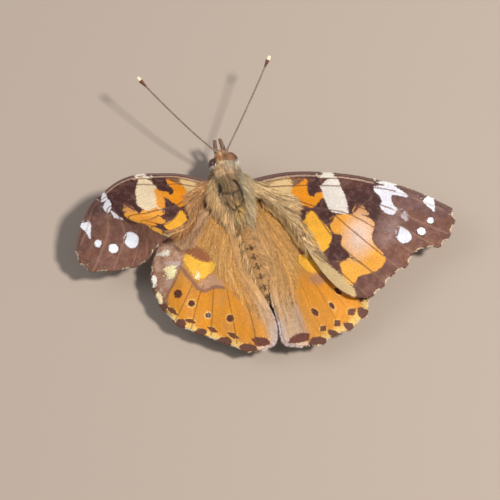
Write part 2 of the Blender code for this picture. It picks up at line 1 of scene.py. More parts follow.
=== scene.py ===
import math
from functools import partial

import bpy
import numpy as np
from mathutils import Matrix, Vector
from mathutils.geometry import delaunay_2d_cdt


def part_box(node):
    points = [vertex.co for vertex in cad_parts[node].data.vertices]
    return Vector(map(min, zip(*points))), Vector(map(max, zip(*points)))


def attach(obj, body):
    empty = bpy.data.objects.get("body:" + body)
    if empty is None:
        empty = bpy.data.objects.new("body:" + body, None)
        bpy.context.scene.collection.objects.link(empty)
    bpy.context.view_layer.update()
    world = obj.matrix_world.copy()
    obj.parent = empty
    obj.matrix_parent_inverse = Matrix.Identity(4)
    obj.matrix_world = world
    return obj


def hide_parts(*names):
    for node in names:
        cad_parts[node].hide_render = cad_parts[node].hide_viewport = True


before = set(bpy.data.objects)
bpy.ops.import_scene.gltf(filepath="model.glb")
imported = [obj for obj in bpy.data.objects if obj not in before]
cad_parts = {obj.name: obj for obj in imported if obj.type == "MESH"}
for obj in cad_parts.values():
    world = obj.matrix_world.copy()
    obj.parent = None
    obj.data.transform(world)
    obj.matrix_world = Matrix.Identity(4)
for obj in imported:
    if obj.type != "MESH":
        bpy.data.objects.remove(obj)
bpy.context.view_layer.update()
MM = 0.001
UPPER_PITCH = ((0.125, 0.092))
UNDER_PITCH = ((0.22, 0.17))
FULLNESS = 1.0

# The solids were moved so that their box stands over the origin. The thorax says how far.
THORAX_X = 0.30
THORAX_LOW = np.array([-2.908, -4.291, 2.528])
SHIFT = np.array(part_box("thorax")[0]) / MM - THORAX_LOW
UP = np.array([0.0, 0.0, 1.0])
OUT = np.array([1.0, 0.0, 0.0])


def to_metres(points):
    return (np.asarray(points, dtype=float) + SHIFT) * MM


def full(amount):
    """How many hairs or scales to draw."""
    return round(amount * FULLNESS)


# Camera
YAW = 17.0
ELEVATION = 68.0
DISTANCE = 300.0
PIXELS_PER_MM = 6.9
PICTURE = 500.0
SENSOR = 36.0
ANCHOR_PIXEL = (232.0, 190.0)
ANCHOR_POINT = np.array([0.0, 0.0, 6.0])


def add_camera():
    turn = math.radians(180.0 - YAW)
    rise = math.radians(ELEVATION)
    back = np.array([math.sin(turn) * math.cos(rise), -math.cos(turn) * math.cos(rise), math.sin(rise)])
    right = np.cross(-back, (0.0, 0.0, 1.0))
    right /= np.linalg.norm(right)
    up = np.cross(back, right)
    away = (np.array(ANCHOR_PIXEL) - PICTURE / 2) / PIXELS_PER_MM
    target = ANCHOR_POINT - right * away[0] + up * away[1]
    place = to_metres(target + back * DISTANCE)
    data = bpy.data.cameras.new("camera")
    data.sensor_width = SENSOR
    data.lens = PIXELS_PER_MM * DISTANCE / PICTURE * SENSOR
    data.clip_start = 0.005
    data.clip_end = 10.0
    camera = bpy.data.objects.new("camera", data)
    turned = Matrix((right, up, back)).transposed().to_4x4()
    camera.matrix_world = Matrix.Translation(Vector(place)) @ turned
    bpy.context.scene.collection.objects.link(camera)
    bpy.context.scene.camera = camera


# Colour
def tone(red, green, blue):
    """A colour as the eye reads it, 0 to 255, made linear."""
    return np.array([(value / 255.0) ** 2.2 for value in (red, green, blue)])


def ramp(values):
    return np.clip(values, 0.0, 1.0)


def hump(*offsets):
    """A soft round hump, 1 where every offset is 0."""
    return np.exp(-sum(offset ** 2 for offset in offsets))


def lay(colours, share, *colour):
    """Blends a colour over its share of each place."""
    share = ramp(share)[:, None]
    colours *= 1.0 - share
    colours += tone(*colour) * share


def plain(count, *colour):
    return np.tile(tone(*colour), (count, 1))


# Mesh helpers
def piece_from(name, points, triangles, tint, bake, finish, slot, *nodes, smooth=True):
    """A mesh with a colour and a place on the bake map for each point. The slot is not used."""
    mesh = bpy.data.meshes.new(name)
    triangles = np.asarray(triangles, dtype=np.int32)
    mesh.vertices.add(len(points))
    mesh.vertices.foreach_set("co", to_metres(points).astype(np.float32).ravel())
    mesh.loops.add(triangles.size)
    mesh.loops.foreach_set("vertex_index", triangles.ravel())
    mesh.polygons.add(len(triangles))
    mesh.polygons.foreach_set("loop_start", np.arange(0, triangles.size, 3, dtype=np.int32))
    mesh.polygons.foreach_set("loop_total", np.full(len(triangles), 3, dtype=np.int32))
    mesh.polygons.foreach_set("use_smooth", np.full(len(triangles), smooth))
    mesh.update()
    colours = np.ones((len(points), 4), dtype=np.float32)
    colours[:, :3] = tint
    mesh.color_attributes.new("tint", "FLOAT_COLOR", "POINT").data.foreach_set("color", colours.ravel())
    layer = mesh.uv_layers.new(name="OFBake")
    layer.data.foreach_set("uv", np.asarray(bake, dtype=np.float32)[triangles.ravel()].ravel())
    mesh.materials.append(finish)
    piece = bpy.data.objects.new(name, mesh)
    bpy.context.scene.collection.objects.link(piece)
    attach(piece, "root")
    if nodes:
        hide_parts(*nodes)


class Gathered:
    """Collects points, triangles, colours and bake places of many small things."""

    def __init__(self):
        self.parts = []
        self.count = 0

    def add(self, points, triangles, tint, places):
        self.parts.append((points, np.asarray(triangles) + self.count, tint, places))
        self.count += len(points)

    def add_copies(self, corners, pattern, tints, shades, places, patch):
        """Many small things of one make: the first corners of all, the second ones, and so on."""
        count, each = len(places), len(corners)
        triangles = np.arange(count)[:, None, None] * each + np.array(pattern)
        tints = np.repeat(tints, each, axis=0) * np.tile(shades, count)[:, None]
        places = places[:, None, :] + np.array(patch) * PATCH
        self.add(np.stack(corners, axis=1).reshape(-1, 3), triangles.reshape(-1, 3), ramp(tints),
                 places.reshape(-1, 2))

    def piece(self, name, finish, slot, *nodes, smooth=True):
        piece_from(name, *map(np.vstack, zip(*self.parts)), finish, slot, *nodes, smooth=smooth)


def smooth_curve(points, step):
    """Points about step apart on a smooth curve through the given points."""
    points = np.asarray(points, dtype=float)
    padded = np.vstack([2 * points[:1] - points[1:2], points, 2 * points[-1:] - points[-2:-1]])
    result = []
    for before, start, end, after in zip(padded, padded[1:], padded[2:], padded[3:]):
        pieces = max(1, round(float(np.linalg.norm(end - start)) / step))
        t = np.arange(pieces)[:, None] / pieces
        result.append(0.5 * (2 * start + (end - before) * t
                             + (2 * before - 5 * start + 4 * end - after) * t ** 2
                             + (3 * start - before - 3 * end + after) * t ** 3))
    return np.vstack(result + [points[-1:]])


def closed(outline):
    return np.vstack([outline, outline[:1]])


def inside(points, outline):
    """Which of the flat points lie inside a closed outline."""
    outline = np.asarray(outline, dtype=float)
    found = np.zeros(len(points), dtype=bool)
    for start, end in zip(outline, np.roll(outline, -1, axis=0)):
        rise = end[1] - start[1]
        if abs(rise) < 1e-9:
            continue
        crosses = (start[1] > points[:, 1]) != (end[1] > points[:, 1])
        reach = start[0] + (points[:, 1] - start[1]) / rise * (end[0] - start[0])
        found ^= crosses & (points[:, 0] < reach)
    return found


def distance_to_line(points, line):
    """Distance of the flat points from an open line of flat points."""
    line = np.asarray(line, dtype=float)
    best = np.full(len(points), 1e9)
    for start, end in zip(line[:-1], line[1:]):
        along = end - start
        share = ramp(((points - start) @ along) / max(float(along @ along), 1e-12))
        best = np.minimum(best, np.linalg.norm(points - start - share[:, None] * along, axis=1))
    return best


def distance_to_lines(points, lines, step):
    return np.min([distance_to_line(points, smooth_curve(line, step)) for line in lines], axis=0)


def waver(points, size, seed):
    """A smooth wandering offset, the same for the same place."""
    draws = np.random.default_rng(seed)
    total = np.zeros((len(points), 2))
    for octave in range(4):
        wave = draws.normal(0.0, 1.0, (2, 2)) * (0.55 * 1.9 ** octave)
        phase = draws.uniform(0.0, math.tau, 2)
        total += np.sin(points @ wave + phase) / 1.6 ** octave
    return total * size


def cloudy(points, size, seed):
    """Soft random light and dark patches about size across, from 0 to 1."""
    cells = 97
    table = np.random.default_rng(seed).uniform(0.0, 1.0, (cells, cells))
    where = points[:, :2] / size + 40.0
    cell = np.floor(where).astype(int)
    share = where - cell
    u, v = (share * share * (3.0 - 2.0 * share)).T
    (left, low), (right, high) = (cell % cells).T, ((cell + 1) % cells).T
    near = table[left, low] * (1 - u) + table[right, low] * u
    far = table[left, high] * (1 - u) + table[right, high] * u
    return near * (1 - v) + far * v


def two_clouds(points, size, fine, seed):
    """Large patches with finer ones in them, above and below 0."""
    return cloudy(points, size, seed[0]) + 0.6 * cloudy(points, fine, seed[1]) - 0.8


def unit(vectors):
    return vectors / np.maximum(np.linalg.norm(vectors, axis=-1), 1e-9)[..., None]


def wall(rings, sides):
    """Triangles between successive rings of points, two to each side."""
    a = np.arange((rings - 1) * sides)
    b = a // sides * sides + (a + 1) % sides
    return np.stack([a, b, b + sides, a, b + sides, a + sides], axis=1).reshape(-1, 3)


def fans(rings, sides):
    """Triangles that close the first and the last ring."""
    return [(at * sides, at * sides + side, at * sides + side + 1)
            for at in (0, rings - 1) for side in range(1, sides - 1)]


def rings_round(centres, radii, sideways, upward, sides):
    angles = (np.arange(sides) * math.tau / sides)[:, None]
    turned = sideways[:, None, :] * np.cos(angles) + upward[:, None, :] * np.sin(angles)
    return (centres[:, None, :] + radii[:, None, None] * turned).reshape(-1, 3)


# Small things: flat kites for scales and tapered ribbons for hair
PATCH = 0.0014          # half size of a hair's or scale's patch on the bake map
KITE = [(0, 1, 2), (0, 2, 4), (4, 2, 3)]
KITE_PATCH = np.array([(-1, -1), (1, -1), (1, 1), (0, 1), (-1, 1)])
WING_KITE_PATCH = KITE_PATCH * 6.0 / 7.0
KITE_SHADES = [1.0] * 5
HAIR = [(0, 1, 3), (0, 3, 2), (2, 3, 5), (2, 5, 4), (4, 5, 6)]
HAIR_PATCH = [(-1, -1), (1, -1), (-1, -0.3), (1, -0.3), (-1, 0.4), (1, 0.4), (0, 1)]
# Painted shade along each hair: darker at the root and lighter at the tip.
HAIR_PAINTED_SHADE = [0.86, 0.86, 0.97, 0.97, 1.04, 1.04, 1.08]


def ribbons(gathered, roots, directions, normals, lengths, widths, tints, places, bend):
    """Tapered hairs: three flat lengths that narrow to a point and curve along bend."""
    across = unit(np.cross(normals, directions))
    corners = []
    for step, wide in ((0.0, 1.0), (0.38, 0.85), (0.72, 0.55)):
        centre = roots + directions * (lengths * step)[:, None] + bend * (lengths * step ** 2)[:, None]
        offset = across * np.reshape(0.5 * widths * wide, (-1, 1))
        corners += [centre - offset, centre + offset]
    corners.append(roots + directions * lengths[:, None] + bend * lengths[:, None])
    gathered.add_copies(corners, HAIR, tints, HAIR_PAINTED_SHADE, places, HAIR_PATCH)


def streaks(across, along, seed):
    """Light and dark locks that run along a coat, about 1."""
    draws = np.random.default_rng(seed)
    total = np.zeros(len(across))
    for waves in (1.9, 4.6, 8.3, 14.0):
        swing, phase = draws.uniform(0.0, math.tau, 2)
        total += np.sin(across * waves + 1.3 * np.sin(along * 0.8 + swing) + phase)
    return 1.0 + 0.15 * total[:, None]


# Materials
BUMP_DEPTH = 0.00005
FACET_SIZE = 0.07
FACET_DEPTH = 0.00002


def material(name, roughness, specular):
    made = bpy.data.materials.new(name)
    made.use_nodes = True
    shader = made.node_tree.nodes["Principled BSDF"]
    shader.inputs["Roughness"].default_value = roughness
    shader.inputs["Specular IOR Level"].default_value = specular
    return made, shader


def node(tree, kind, inputs, source=None, into=None):
    """A shader node with some inputs set, fed from another node's output."""
    made = tree.nodes.new("ShaderNode" + kind)
    for name, value in inputs.items():
        made.inputs[name].default_value = value
    if source:
        tree.links.new(source, made.inputs[into])
    return made


def tint_and_place(tree):
    """The mesh's own colour, and where a point lies on the object."""
    tint = node(tree, "Attribute", {})
    tint.attribute_name = "tint"
    return tint.outputs["Color"], node(tree, "TexCoord", {}).outputs["Object"]


def add_bump(tree, shader, strength, depth, height):
    relief = node(tree, "Bump", {"Strength": strength, "Distance": depth}, height, "Height")
    tree.links.new(relief.outputs["Normal"], shader.inputs["Normal"])
    return relief


def tinted_material(name, roughness, grain, grain_size, bump, specular=0.5, sheen=0.0):
    """A finish that takes its colour from the tint, varied by fine grain, with a grained bump."""
    made, shader = material(name, roughness, specular)
    tree = made.node_tree
    tint, place = tint_and_place(tree)
    noise = node(tree, "TexNoise", {"Scale": 1.0 / (grain_size * MM), "Detail": 4.0}, place, "Vector")
    spread = node(tree, "MapRange", {"From Min": 0.3, "From Max": 0.7, "To Min": 1.0 - grain,
                                     "To Max": 1.0 + grain}, noise.outputs["Fac"], "Value")
    scaled = node(tree, "VectorMath", {}, tint, 0)
    scaled.operation = "SCALE"
    tree.links.new(spread.outputs["Result"], scaled.inputs["Scale"])
    tree.links.new(scaled.outputs["Vector"], shader.inputs["Base Color"])
    add_bump(tree, shader, bump, BUMP_DEPTH, noise.outputs["Fac"])
    if sheen:
        shader.inputs["Sheen Weight"].default_value = sheen
        shader.inputs["Sheen Roughness"].default_value = 0.5
    return made


def eye_material():
    """Glossy facets."""
    made, shader = material("eye facets", 0.10, 0.8)
    tree = made.node_tree
    tint, place = tint_and_place(tree)
    tree.links.new(tint, shader.inputs["Base Color"])
    cells = node(tree, "TexVoronoi", {"Scale": 1.0 / (FACET_SIZE * MM)}, place, "Vector")
    add_bump(tree, shader, 0.35, FACET_DEPTH, cells.outputs["Distance"]).invert = True
    return made


# Roughness, strength and size of the grain, strength of the bump
scale_finish = tinted_material("wing scales", 0.62, 0.10, 0.12, 0.20, specular=0.35)
membrane_finish = tinted_material("wing membrane", 0.55, 0.10, 0.15, 0.30, specular=0.4)
hair_finish = tinted_material("body hair", 0.70, 0.06, 0.30, 0.0, specular=0.3, sheen=0.2)
skin_finish = tinted_material("body skin", 0.60, 0.20, 0.10, 0.6)
abdomen_finish = tinted_material("abdomen scales", 0.60, 0.10, 0.12, 0.15, specular=0.35)
antenna_finish = tinted_material("antenna", 0.55, 0.10, 0.08, 0.25)
leg_finish = tinted_material("legs", 0.60, 0.12, 0.08, 0.30)
eye_finish = eye_material()

# Wings: flat outlines and veins, as in the solids
FOREWING = {
    "source": (-6, 1.5),
    "costa": [(-1.6, 0.6), (0.4, 1.5), (2.6, 2.5), (5.5, 3.5), (9.4, 4.2), (14, 4.5), (17.8, 4.3),
              (21.2, 3.9), (24.4, 3.2), (27.4, 2.2)],
    "margin": [(29.3, 1.2), (29.9, -0.2), (29.5, -2.1), (27.8, -4.7), (25.4, -7.1),
               (23.3, -9.3), (21.6, -11.6), (19.4, -13.6)],
    "dorsum": [(17.6, -14.2), (15.7, -13.7), (13.5, -12.2), (10.6, -9.3), (7.8, -6.4),
               (4, -3.4), (1.2, -1.7), (-1.2, -1.5)],
    "veins": {
        "subcosta": [(1.5, 1.1), (6, 2.6), (12.6, 3.6)],
        "radius": [(1.6, 0.3), (7.4, 1.6), (14.6, 2.6), (20.4, 2.9), (28.2, 1)],
        "media 1": [(14.9, 1.1), (20.2, 0.2), (25, -1.2), (29.2, -2.4)],
        "media 2": [(15, -0.1), (20, -1.5), (27.6, -4.4)],
        "cell end": [(14.6, 2.2), (14.9, 0.4), (14.5, -1.2)],
        "cubitus": [(1.9, -0.6), (6, -1), (10.6, -1.6), (14.6, -1.7), (18.8, -3.2), (25.6, -6.4)],
        "cubitus 1": [(13, -2.4), (15.7, -4.1), (23.2, -8.8)],
        "cubitus 2": [(9.6, -2.4), (14.3, -6.6), (21.3, -11.2)],
        "anal": [(2.6, -1.5), (8, -4.6), (13.3, -9.5), (18.8, -13.5)],
    },
}
WORN_FOREWING = dict(FOREWING, margin=[
    (29.3, 1.5), (30, -0.5), (29.6, -2.8), (28.4, -4.6), (26.3, -4.9), (24.9, -6), (24.2, -8.3),
    (22.3, -9.9), (21.2, -11.9), (19.6, -13.8)])
HINDWING = {
    "source": (-5, 1),
    "costa": [(-2.6, -1.5), (-3.9, 0.4), (-4.4, 2.4), (-4, 4.4), (-2.2, 5.6), (0.9, 6.7), (4.3, 8.3)],
    "margin": [(8.1, 9.1), (10.2, 8.9), (12.2, 8.2), (14.6, 6.7), (16.9, 4), (17.7, 0.6),
               (18.4, -2.8), (19.3, -6.2)],
    "dorsum": [(18.7, -7.9), (17.5, -9.3), (16.2, -9.5), (14.4, -9.2), (12.1, -8.5),
               (6.8, -6.5), (2.4, -4.4), (-0.1, -2.7)],
    "veins": {
        "subcosta": [(-0.4, 1.6), (2.2, 5.6), (7.6, 8.6)],
        "radial sector": [(0.6, 1), (4.6, 4.8), (11.6, 8.2)],
        "media 1": [(4.6, 3.4), (8.3, 4.8), (11.9, 6), (14, 6.7)],
        "media 2": [(7.2, 2.6), (11.5, 3.3), (16.2, 4.4)],
        "media 3": [(9.2, 1.2), (11.9, 1.8), (17.1, 2)],
        "cubitus 1": [(0.9, 0), (5, 0.2), (10.6, -0.1), (17.6, -0.9)],
        "cubitus 2": [(5.6, -0.9), (10.6, -2.4), (18.3, -4.6)],
        "anal": [(0.8, -1.2), (8, -4.3), (18.4, -7.3)],
    },
}
# Flat places of each wing and where the pose carries them: hinge, costa, tip, margin, folds
PLACES = {
    "forewing_right": [
        ((0.1, 1.4), (-3.1, -0.6, 6.3)), ((1.5, -1.2), (-4.4, 2.4, 6.2)),
        ((9.4, 4.2), (-12.5, 1.2, 6.7)), ((17.8, 4.2), (-20.1, 4.8, 6.6)),
        ((24.4, 3.1), (-25.7, 8.3, 5.8)), ((29.6, 1.2), (-29.7, 11.8, 4.8)),
        ((27.8, -4.8), (-25.3, 16.5, 4.6)), ((23.3, -9.3), (-19.2, 18.6, 4.9)),
        ((18.5, -14), (-13, 21, 5.6)), ((10.6, -9.3), (-7.8, 13.7, 6.6)),
        ((14.3, -1.5), (-14.4, 8.4, 6.9)),
    ],
    "forewing_left": [
        ((0.1, 1.4), (3, -2.4, 6.3)), ((1.5, -1.2), (4.5, -0.6, 6.3)),
        ((10.3, 4.2), (11.7, -4.9, 8.6)), ((17.8, 4.2), (18.3, -3.9, 8)),
        ((24.4, 3.1), (22, -1.2, 6.6)), ((8.9, 1.6), (9.6, -2.3, 8.4)), ((8, 0.3), (8.1, -1.3, 8.2)),
        ((7.8, -3), (7.5, 2.5, 7.8)), ((10.1, -7.9), (9.5, 4.8, 8.2)), ((11.2, -1.9), (9.9, 1.6, 9)),
        ((13.7, 0.8), (13.6, -1.9, 9.4)), ((14.3, -1.5), (13.2, 1.3, 9.6)),
        ((19, 0.6), (17.5, -1.6, 8.8)), ((18.2, -2.5), (15.9, 0.9, 9.4)),
        ((19.6, -8), (13.7, 3.2, 9)), ((17, -11.4), (12, 4.4, 8.4)),
        ((20.6, -0.3), (17.9, -1, 8.4)), ((21, -3.4), (15.5, 2.1, 8.2)),
        ((23.1, -3.7), (16, 3.6, 7)), ((26.6, -0.8), (20.7, 2.3, 6.2)),
        ((25.6, -2.6), (18.8, 3.7, 6.2)), ((29.6, 1.2), (24.2, 2.1, 5.2)),
        ((29.5, -2.1), (22.8, 5.5, 4.6)), ((27.8, -4.8), (19.4, 6.5, 4.6)),
        ((25.4, -7.1), (16.4, 6.8, 5)), ((23.3, -9.3), (14.4, 6.4, 5.6)),
        ((18.5, -14), (11.8, 5.1, 7.2)),
    ],
    "hindwing_right": [
        ((-0.8, -0.5), (-2.3, 5.4, 5.2)), ((-3.3, 3.3), (-4.3, 2.5, 4.95)),
        ((0.9, 6.1), (-8.3, 6.5, 5.2)), ((8.1, 9.4), (-13.4, 15.2, 4.4)),
        ((13.3, 2.7), (-10, 18.9, 4.8)), ((14.7, 0), (-8.5, 20.6, 4.6)),
        ((14.7, -3.1), (-6, 20.9, 4.6)), ((15.1, 6.4), (-14.6, 20.7, 3.8)),
        ((17.5, 0.8), (-10.3, 24.1, 3.4)), ((18.1, -3), (-7.5, 24.2, 3.4)),
        ((19, -6.5), (-5.1, 25.1, 3.6)), ((18, -8.7), (-1.7, 24.3, 3.8)),
        ((14.4, -9.2), (-0.9, 20.8, 4.2)), ((12.1, -8.5), (-0.9, 18.2, 4.6)),
        ((6.8, -6.5), (-1.5, 12.8, 5)),
    ],
    "hindwing_left": [
        ((-0.8, -0.5), (1.2, 3.5, 5.2)), ((-2.6, 3.7), (4.2, 0.2, 4.95)), ((0.9, 6.1), (8.2, 2.2, 5.4)),
        ((8.1, 9.4), (14.2, 6.7, 4.4)), ((12.3, 8.5), (15.2, 10.7, 3.8)),
        ((17.2, 4.2), (13.4, 16.8, 3.4)), ((18.7, -2.6), (7.9, 21.2, 3.4)),
        ((18, -8.7), (1.9, 23.4, 3.6)), ((14.4, -9.2), (0.05, 20.5, 4.2)),
        ((12.1, -8.5), (0.3, 18.1, 4.6)), ((6.8, -6.5), (1.3, 12.2, 5)),
        ((13.3, 2.7), (10.4, 14.5, 4.6)), ((9.2, 0.1), (6.4, 12.3, 5.4)),
    ],
}
SCALLOP = 0.48          # depth of the bays between vein ends
BULGE = 0.30


class Wing:
    """Carries a flat wing to its pose, as a thin plate bent through the given places."""

    def __init__(self, shape, places):
        self.shape = shape
        self.flat = np.array([flat for flat, _ in places])
        posed = np.array([place for _, place in places])
        level = np.column_stack([np.ones(len(self.flat)), self.flat])
        system = np.block([[self.kernel(self.flat), level], [level.T, np.zeros((3, 3))]])
        self.weights = np.linalg.solve(system, np.vstack([posed, np.zeros((3, 3))]))

    def kernel(self, where):
        gap = np.sum((where[:, None, :] - self.flat[None, :, :]) ** 2, axis=-1)
        return gap * np.log(np.maximum(gap, 1e-12))

    def at(self, where):
        count = len(self.flat)
        level = np.column_stack([np.ones(len(where)), where])
        return self.kernel(where) @ self.weights[:count] + level @ self.weights[count:]

    def normals(self, where):
        small = 0.05
        along = self.at(where + (small, 0)) - self.at(where - (small, 0))
        across = self.at(where + (0, small)) - self.at(where - (0, small))
        normal = np.cross(along, across)
        normal /= np.linalg.norm(normal, axis=1)[:, None]
        return normal * np.sign(normal[:, 2:3])

    def flow(self, points):
        """The way that the scales point: from the hinge out towards the margin."""
        return unit(points - np.array(self.shape["source"]))

    def outline(self, step):
        front = smooth_curve(leading_edge(self.shape), step)[:-1]
        outer = scalloped(self.shape["margin"], step)
        rear = self.shape["margin"][-1:] + self.shape["dorsum"] + self.shape["costa"][:1]
        return np.vstack([front, outer, smooth_curve(rear, step)[1:-1]])


def leading_edge(shape):
    return shape["costa"] + shape["margin"][:1]


def scalloped(margin, step):
    """The outer margin with a shallow bay between each pair of its given points."""
    margin = np.array(margin)
    curve = []
    for start, end in zip(margin[:-1], margin[1:]):
        along = end - start
        length = float(np.linalg.norm(along))
        inward = np.array([along[1], -along[0]]) / length
        pieces = max(3, round(length / step))
        t = np.arange(pieces)[:, None] / pieces
        swing = np.sin(math.pi * t)
        curve.append(start + along * t + inward * (SCALLOP * swing ** 2 - BULGE * swing))
    return np.vstack(curve + [margin[-1:]])


# Wing patterns: flat outlines of the markings, painted one over another
UMBER = (100, 64, 54)
DARK = (78, 46, 42)
# The right forewing's tip brown is its own brown with a pinkish cast of painted glare.
WING_BROWNS = {"right": ((120, 80, 68), (122, 88, 86)), "left": ((124, 84, 70), (114, 78, 68))}
CREAM = {"left": (236, 213, 176), "right": (236, 224, 212)}


def rounded(outline):
    """A closed outline with its corners eased."""
    return smooth_curve([outline[-1]] + outline + outline[:2], 0.3)[:-1]


FOREWING_MARKS = [
    ("buff base", (228, 194, 138), 0.20,
     [(0.7, 1.2), (3.2, 1.9), (5.3, 2.5), (5.6, 0.8), (5.2, -0.3), (3.3, -0.4), (1.3, -0.1)]),
    ("orange cell", (240, 150, 26), 0.05,
     [(5.5, 2), (7.7, 2.6), (7.9, 1.6), (8.1, 0.3), (9.2, 0.1), (10.3, 0.6), (10, -0.6), (9, -1.7),
      (7.8, -1.7), (6.7, -1.4), (5.9, -0.5), (5.4, 0.6)]),
    ("cell bar", DARK, 0.04,
     [(7.7, 3), (9.7, 3.3), (9.7, 1.6), (9.3, 0.3), (8.3, 0.2), (7.9, 1.6)]),
    ("black below cell", DARK, 0.04,
     [(9.8, -0.6), (10.6, -0.2), (11.3, -1.1), (12.2, -2), (12.5, -2.6), (11.9, -3.8), (10.8, -3.1),
      (9.6, -2.4), (9.4, -1.4)]),
    ("orange link", (240, 154, 36), 0.04,
     [(8.8, 0.2), (9.4, 0.7), (10.4, 1.1), (10.8, 0.2), (9.9, 0), (9, -0.6)]),
    ("pale cell patch", None, 0.03,
     [(9.3, 3.6), (12, 3.8), (13.1, 2.1), (13.9, 0.7), (14.7, -1.6), (13.4, -1.9), (12.1, -1.8),
      (11.1, -0.6), (10.4, 0.8), (9.8, 2)]),
    ("inner orange", (246, 178, 56), 0.04,
     [(7.6, -3.2), (9, -2.3), (10.3, -3), (11.6, -4), (12.8, -5.2), (13, -6.7), (12.1, -8),
      (10.8, -7.6), (9.3, -6.5), (8.1, -5.4), (7.1, -4.4)]),
    ("small black", DARK, 0.05,
     [(6.4, -3), (7.6, -2.3), (8.2, -3.3), (7.8, -4.2), (6.7, -4.1)]),
    ("outer orange", (238, 164, 62), 0.05,
     [(11.9, -3.3), (13.2, -2.2), (14.8, -1.8), (16.3, -1.6), (17.9, -1.9), (18.8, -2.7), (18.9, -5.1),
      (21.2, -7.8), (19.4, -10.2), (17.7, -9.1), (15.8, -7.8), (14.5, -6.6), (14.4, -5.1), (13.2, -5.1),
      (12.3, -4.1)]),
    ("black patch", DARK, 0.05,
     [(13, 3.2), (17.9, 3.4), (18.2, 2.2), (19, 1.3), (19.2, 0.2), (19.2, -2.1), (18.2, -1.7),
      (17.2, -0.8), (15.9, 0.3), (15.5, -0.9), (15.1, -1.6), (14.6, -0.6), (14, 0.9), (13.5, 2)]),
    ("orange notch", (216, 150, 84), 0.07,
     [(15.8, 0.2), (16.7, -0.4), (17.8, -1.4), (15.4, -1.6)]),
    ("black at rear", DARK, 0.05,
     [(12.2, -8.1), (12.9, -6.6), (13.2, -5.4), (14.4, -5.3), (14.5, -6.6), (15.9, -7.8), (15.7, -8.8),
      (14.8, -9.4), (13, -9)]),
    ("rear orange", (238, 170, 68), 0.05,
     [(13.9, -9.5), (15, -9.2), (15.9, -8.3), (17.4, -9), (19.3, -10.2), (17.8, -10.9), (17.3, -11.6),
      (16.7, -12.5), (15.4, -11.5)]),
    ("olive rear strip", (208, 178, 126), 0.08,
     [(6.6, -5.8), (7.4, -6.9), (8.8, -7.3), (11.2, -8.6), (14, -10.4), (16.8, -12.7), (17.4, -13.9),
      (16.6, -14.2), (14.5, -13.4), (12.4, -11.4), (10.4, -9.9), (7.8, -7.2)]),
    ("white on inner costa", (240, 230, 208), 0.03,
     [(9.3, 4.7), (11.4, 4.9), (11.6, 3.6), (9.5, 3.3)]),
]
RIGHT_MARKS = [
    ("white bar", (238, 234, 242), 0.03,
     [(17.8, 4), (20.1, 3.7), (22.5, 2.8), (22.8, 2.2), (20.6, 2.2), (20.4, 2), (20.8, 0.9),
      (21.6, 0.1), (21.1, -0.8), (20, -0.7), (19.1, 0.1), (19.1, 1.3), (18, 2.4), (17.7, 3.2)]),
    ("end of white bar", (190, 176, 180), 0.06,
     [(21.6, 0.4), (23, -0.1), (23.3, -0.9), (23.2, -1.5), (22.2, -0.7)]),
    ("white on outer costa", (240, 236, 226), 0.04,
     [(17.9, 4.9), (20.8, 4.5), (20.6, 3.6), (17.9, 3.9)]),
    ("white near tip", (240, 240, 248), 0.03,
     [(24.6, 2.8), (26.1, 3), (26.8, 2), (27, 0.5), (25.9, 1.2), (24.9, 1.9)]),
    ("large white spot", (230, 228, 236), 0.03,
     [(21.9, -2.7), (22.9, -2.4), (24.2, -3.3), (24.3, -4.2), (23.3, -4.9), (22.3, -4.3)]),
]
LEFT_MARKS = [
    ("brown beyond the crease", (122, 82, 66), 0.08,
     [(18.9, -3.2), (20.6, -2.4), (22.5, -4), (23.5, -8), (21.8, -12), (19.2, -14.6), (16, -14.6),
      (16.2, -12.4), (17.4, -10.9), (18.6, -9.2), (18.7, -5.4)]),
    ("cell bar beside the pale patch", DARK, 0.04,
     [(9.4, 3.7), (7.3, 3.2), (7.6, 2.4), (8.4, 1.2), (9.4, 0.9), (9.9, 1.7), (9.7, 2.7)]),
    ("dark outside the pale patch", DARK, 0.04,
     [(11.6, 4), (13.8, 3.6), (14.6, 0.7), (15.4, -1), (14.8, -1.6), (14.2, -1.2), (12.6, 0.6),
      (11.4, 2.2), (11.2, 3.2)]),
    ("orange below the pale patch", (240, 166, 70), 0.04,
     [(11.8, -0.9), (13, -1), (13.8, -1.2), (14.3, -1), (15, -1.8), (13.6, -2.6), (12, -2.4)]),
    ("orange beside the pale patch", (240, 160, 60), 0.04,
     [(9.7, 1.1), (10.4, 1.5), (11.5, 0.2), (12.3, -1), (11.7, -1.6), (10.9, -0.9), (10.2, 0.2)]),
    ("pale cell patch", None, 0.03,
     [(9.7, 3.6), (11.2, 3.9), (11.9, 3), (12.8, 2), (13.6, 1), (14.1, 0.3), (14.5, -0.4), (14.2, -1),
      (13.6, -1.3), (12.8, -1.2), (11.9, -0.5), (11.2, 0.5), (10.5, 1.6), (9.9, 2.6)]),
    ("dark outside the bar", (98, 70, 62), 0.25,
     [(18.4, 4.6), (23, 4), (22.6, 1.9), (21.2, 0.2), (19.9, 1.6), (19, 3)]),
    ("upper white bar", (240, 236, 240), 0.03,
     [(18.8, 4.3), (17.3, 4.2), (17.9, 2.5), (19.3, 2.6)]),
    ("middle white bar", (240, 236, 242), 0.03,
     [(19.5, 2.3), (18, 2.2), (18.5, 1.1), (19.7, -0.2), (21.1, -0.2), (20.5, 1.1)]),
    ("lower white bar", (236, 228, 228), 0.03,
     [(21.1, -0.4), (20, -0.4), (20.1, -1.4), (20.2, -2.2), (20.6, -2.3), (21, -1.7), (21.4, -1.1)]),
    ("white near tip", (240, 238, 244), 0.03,
     [(23.7, 2.9), (24.1, 1.8), (25.4, 1), (26.7, 0.3), (26.5, 0.9), (25.9, 1.8), (25.5, 2.8),
      (24.5, 3.3)]),
    ("large white spot", (238, 238, 244), 0.03,
     [(23.7, -2.75), (24.2, -3.4), (24, -4.4), (23.15, -5.1), (22.2, -5.15), (21.7, -4.5),
      (21.9, -3.5), (22.75, -2.8)]),
]
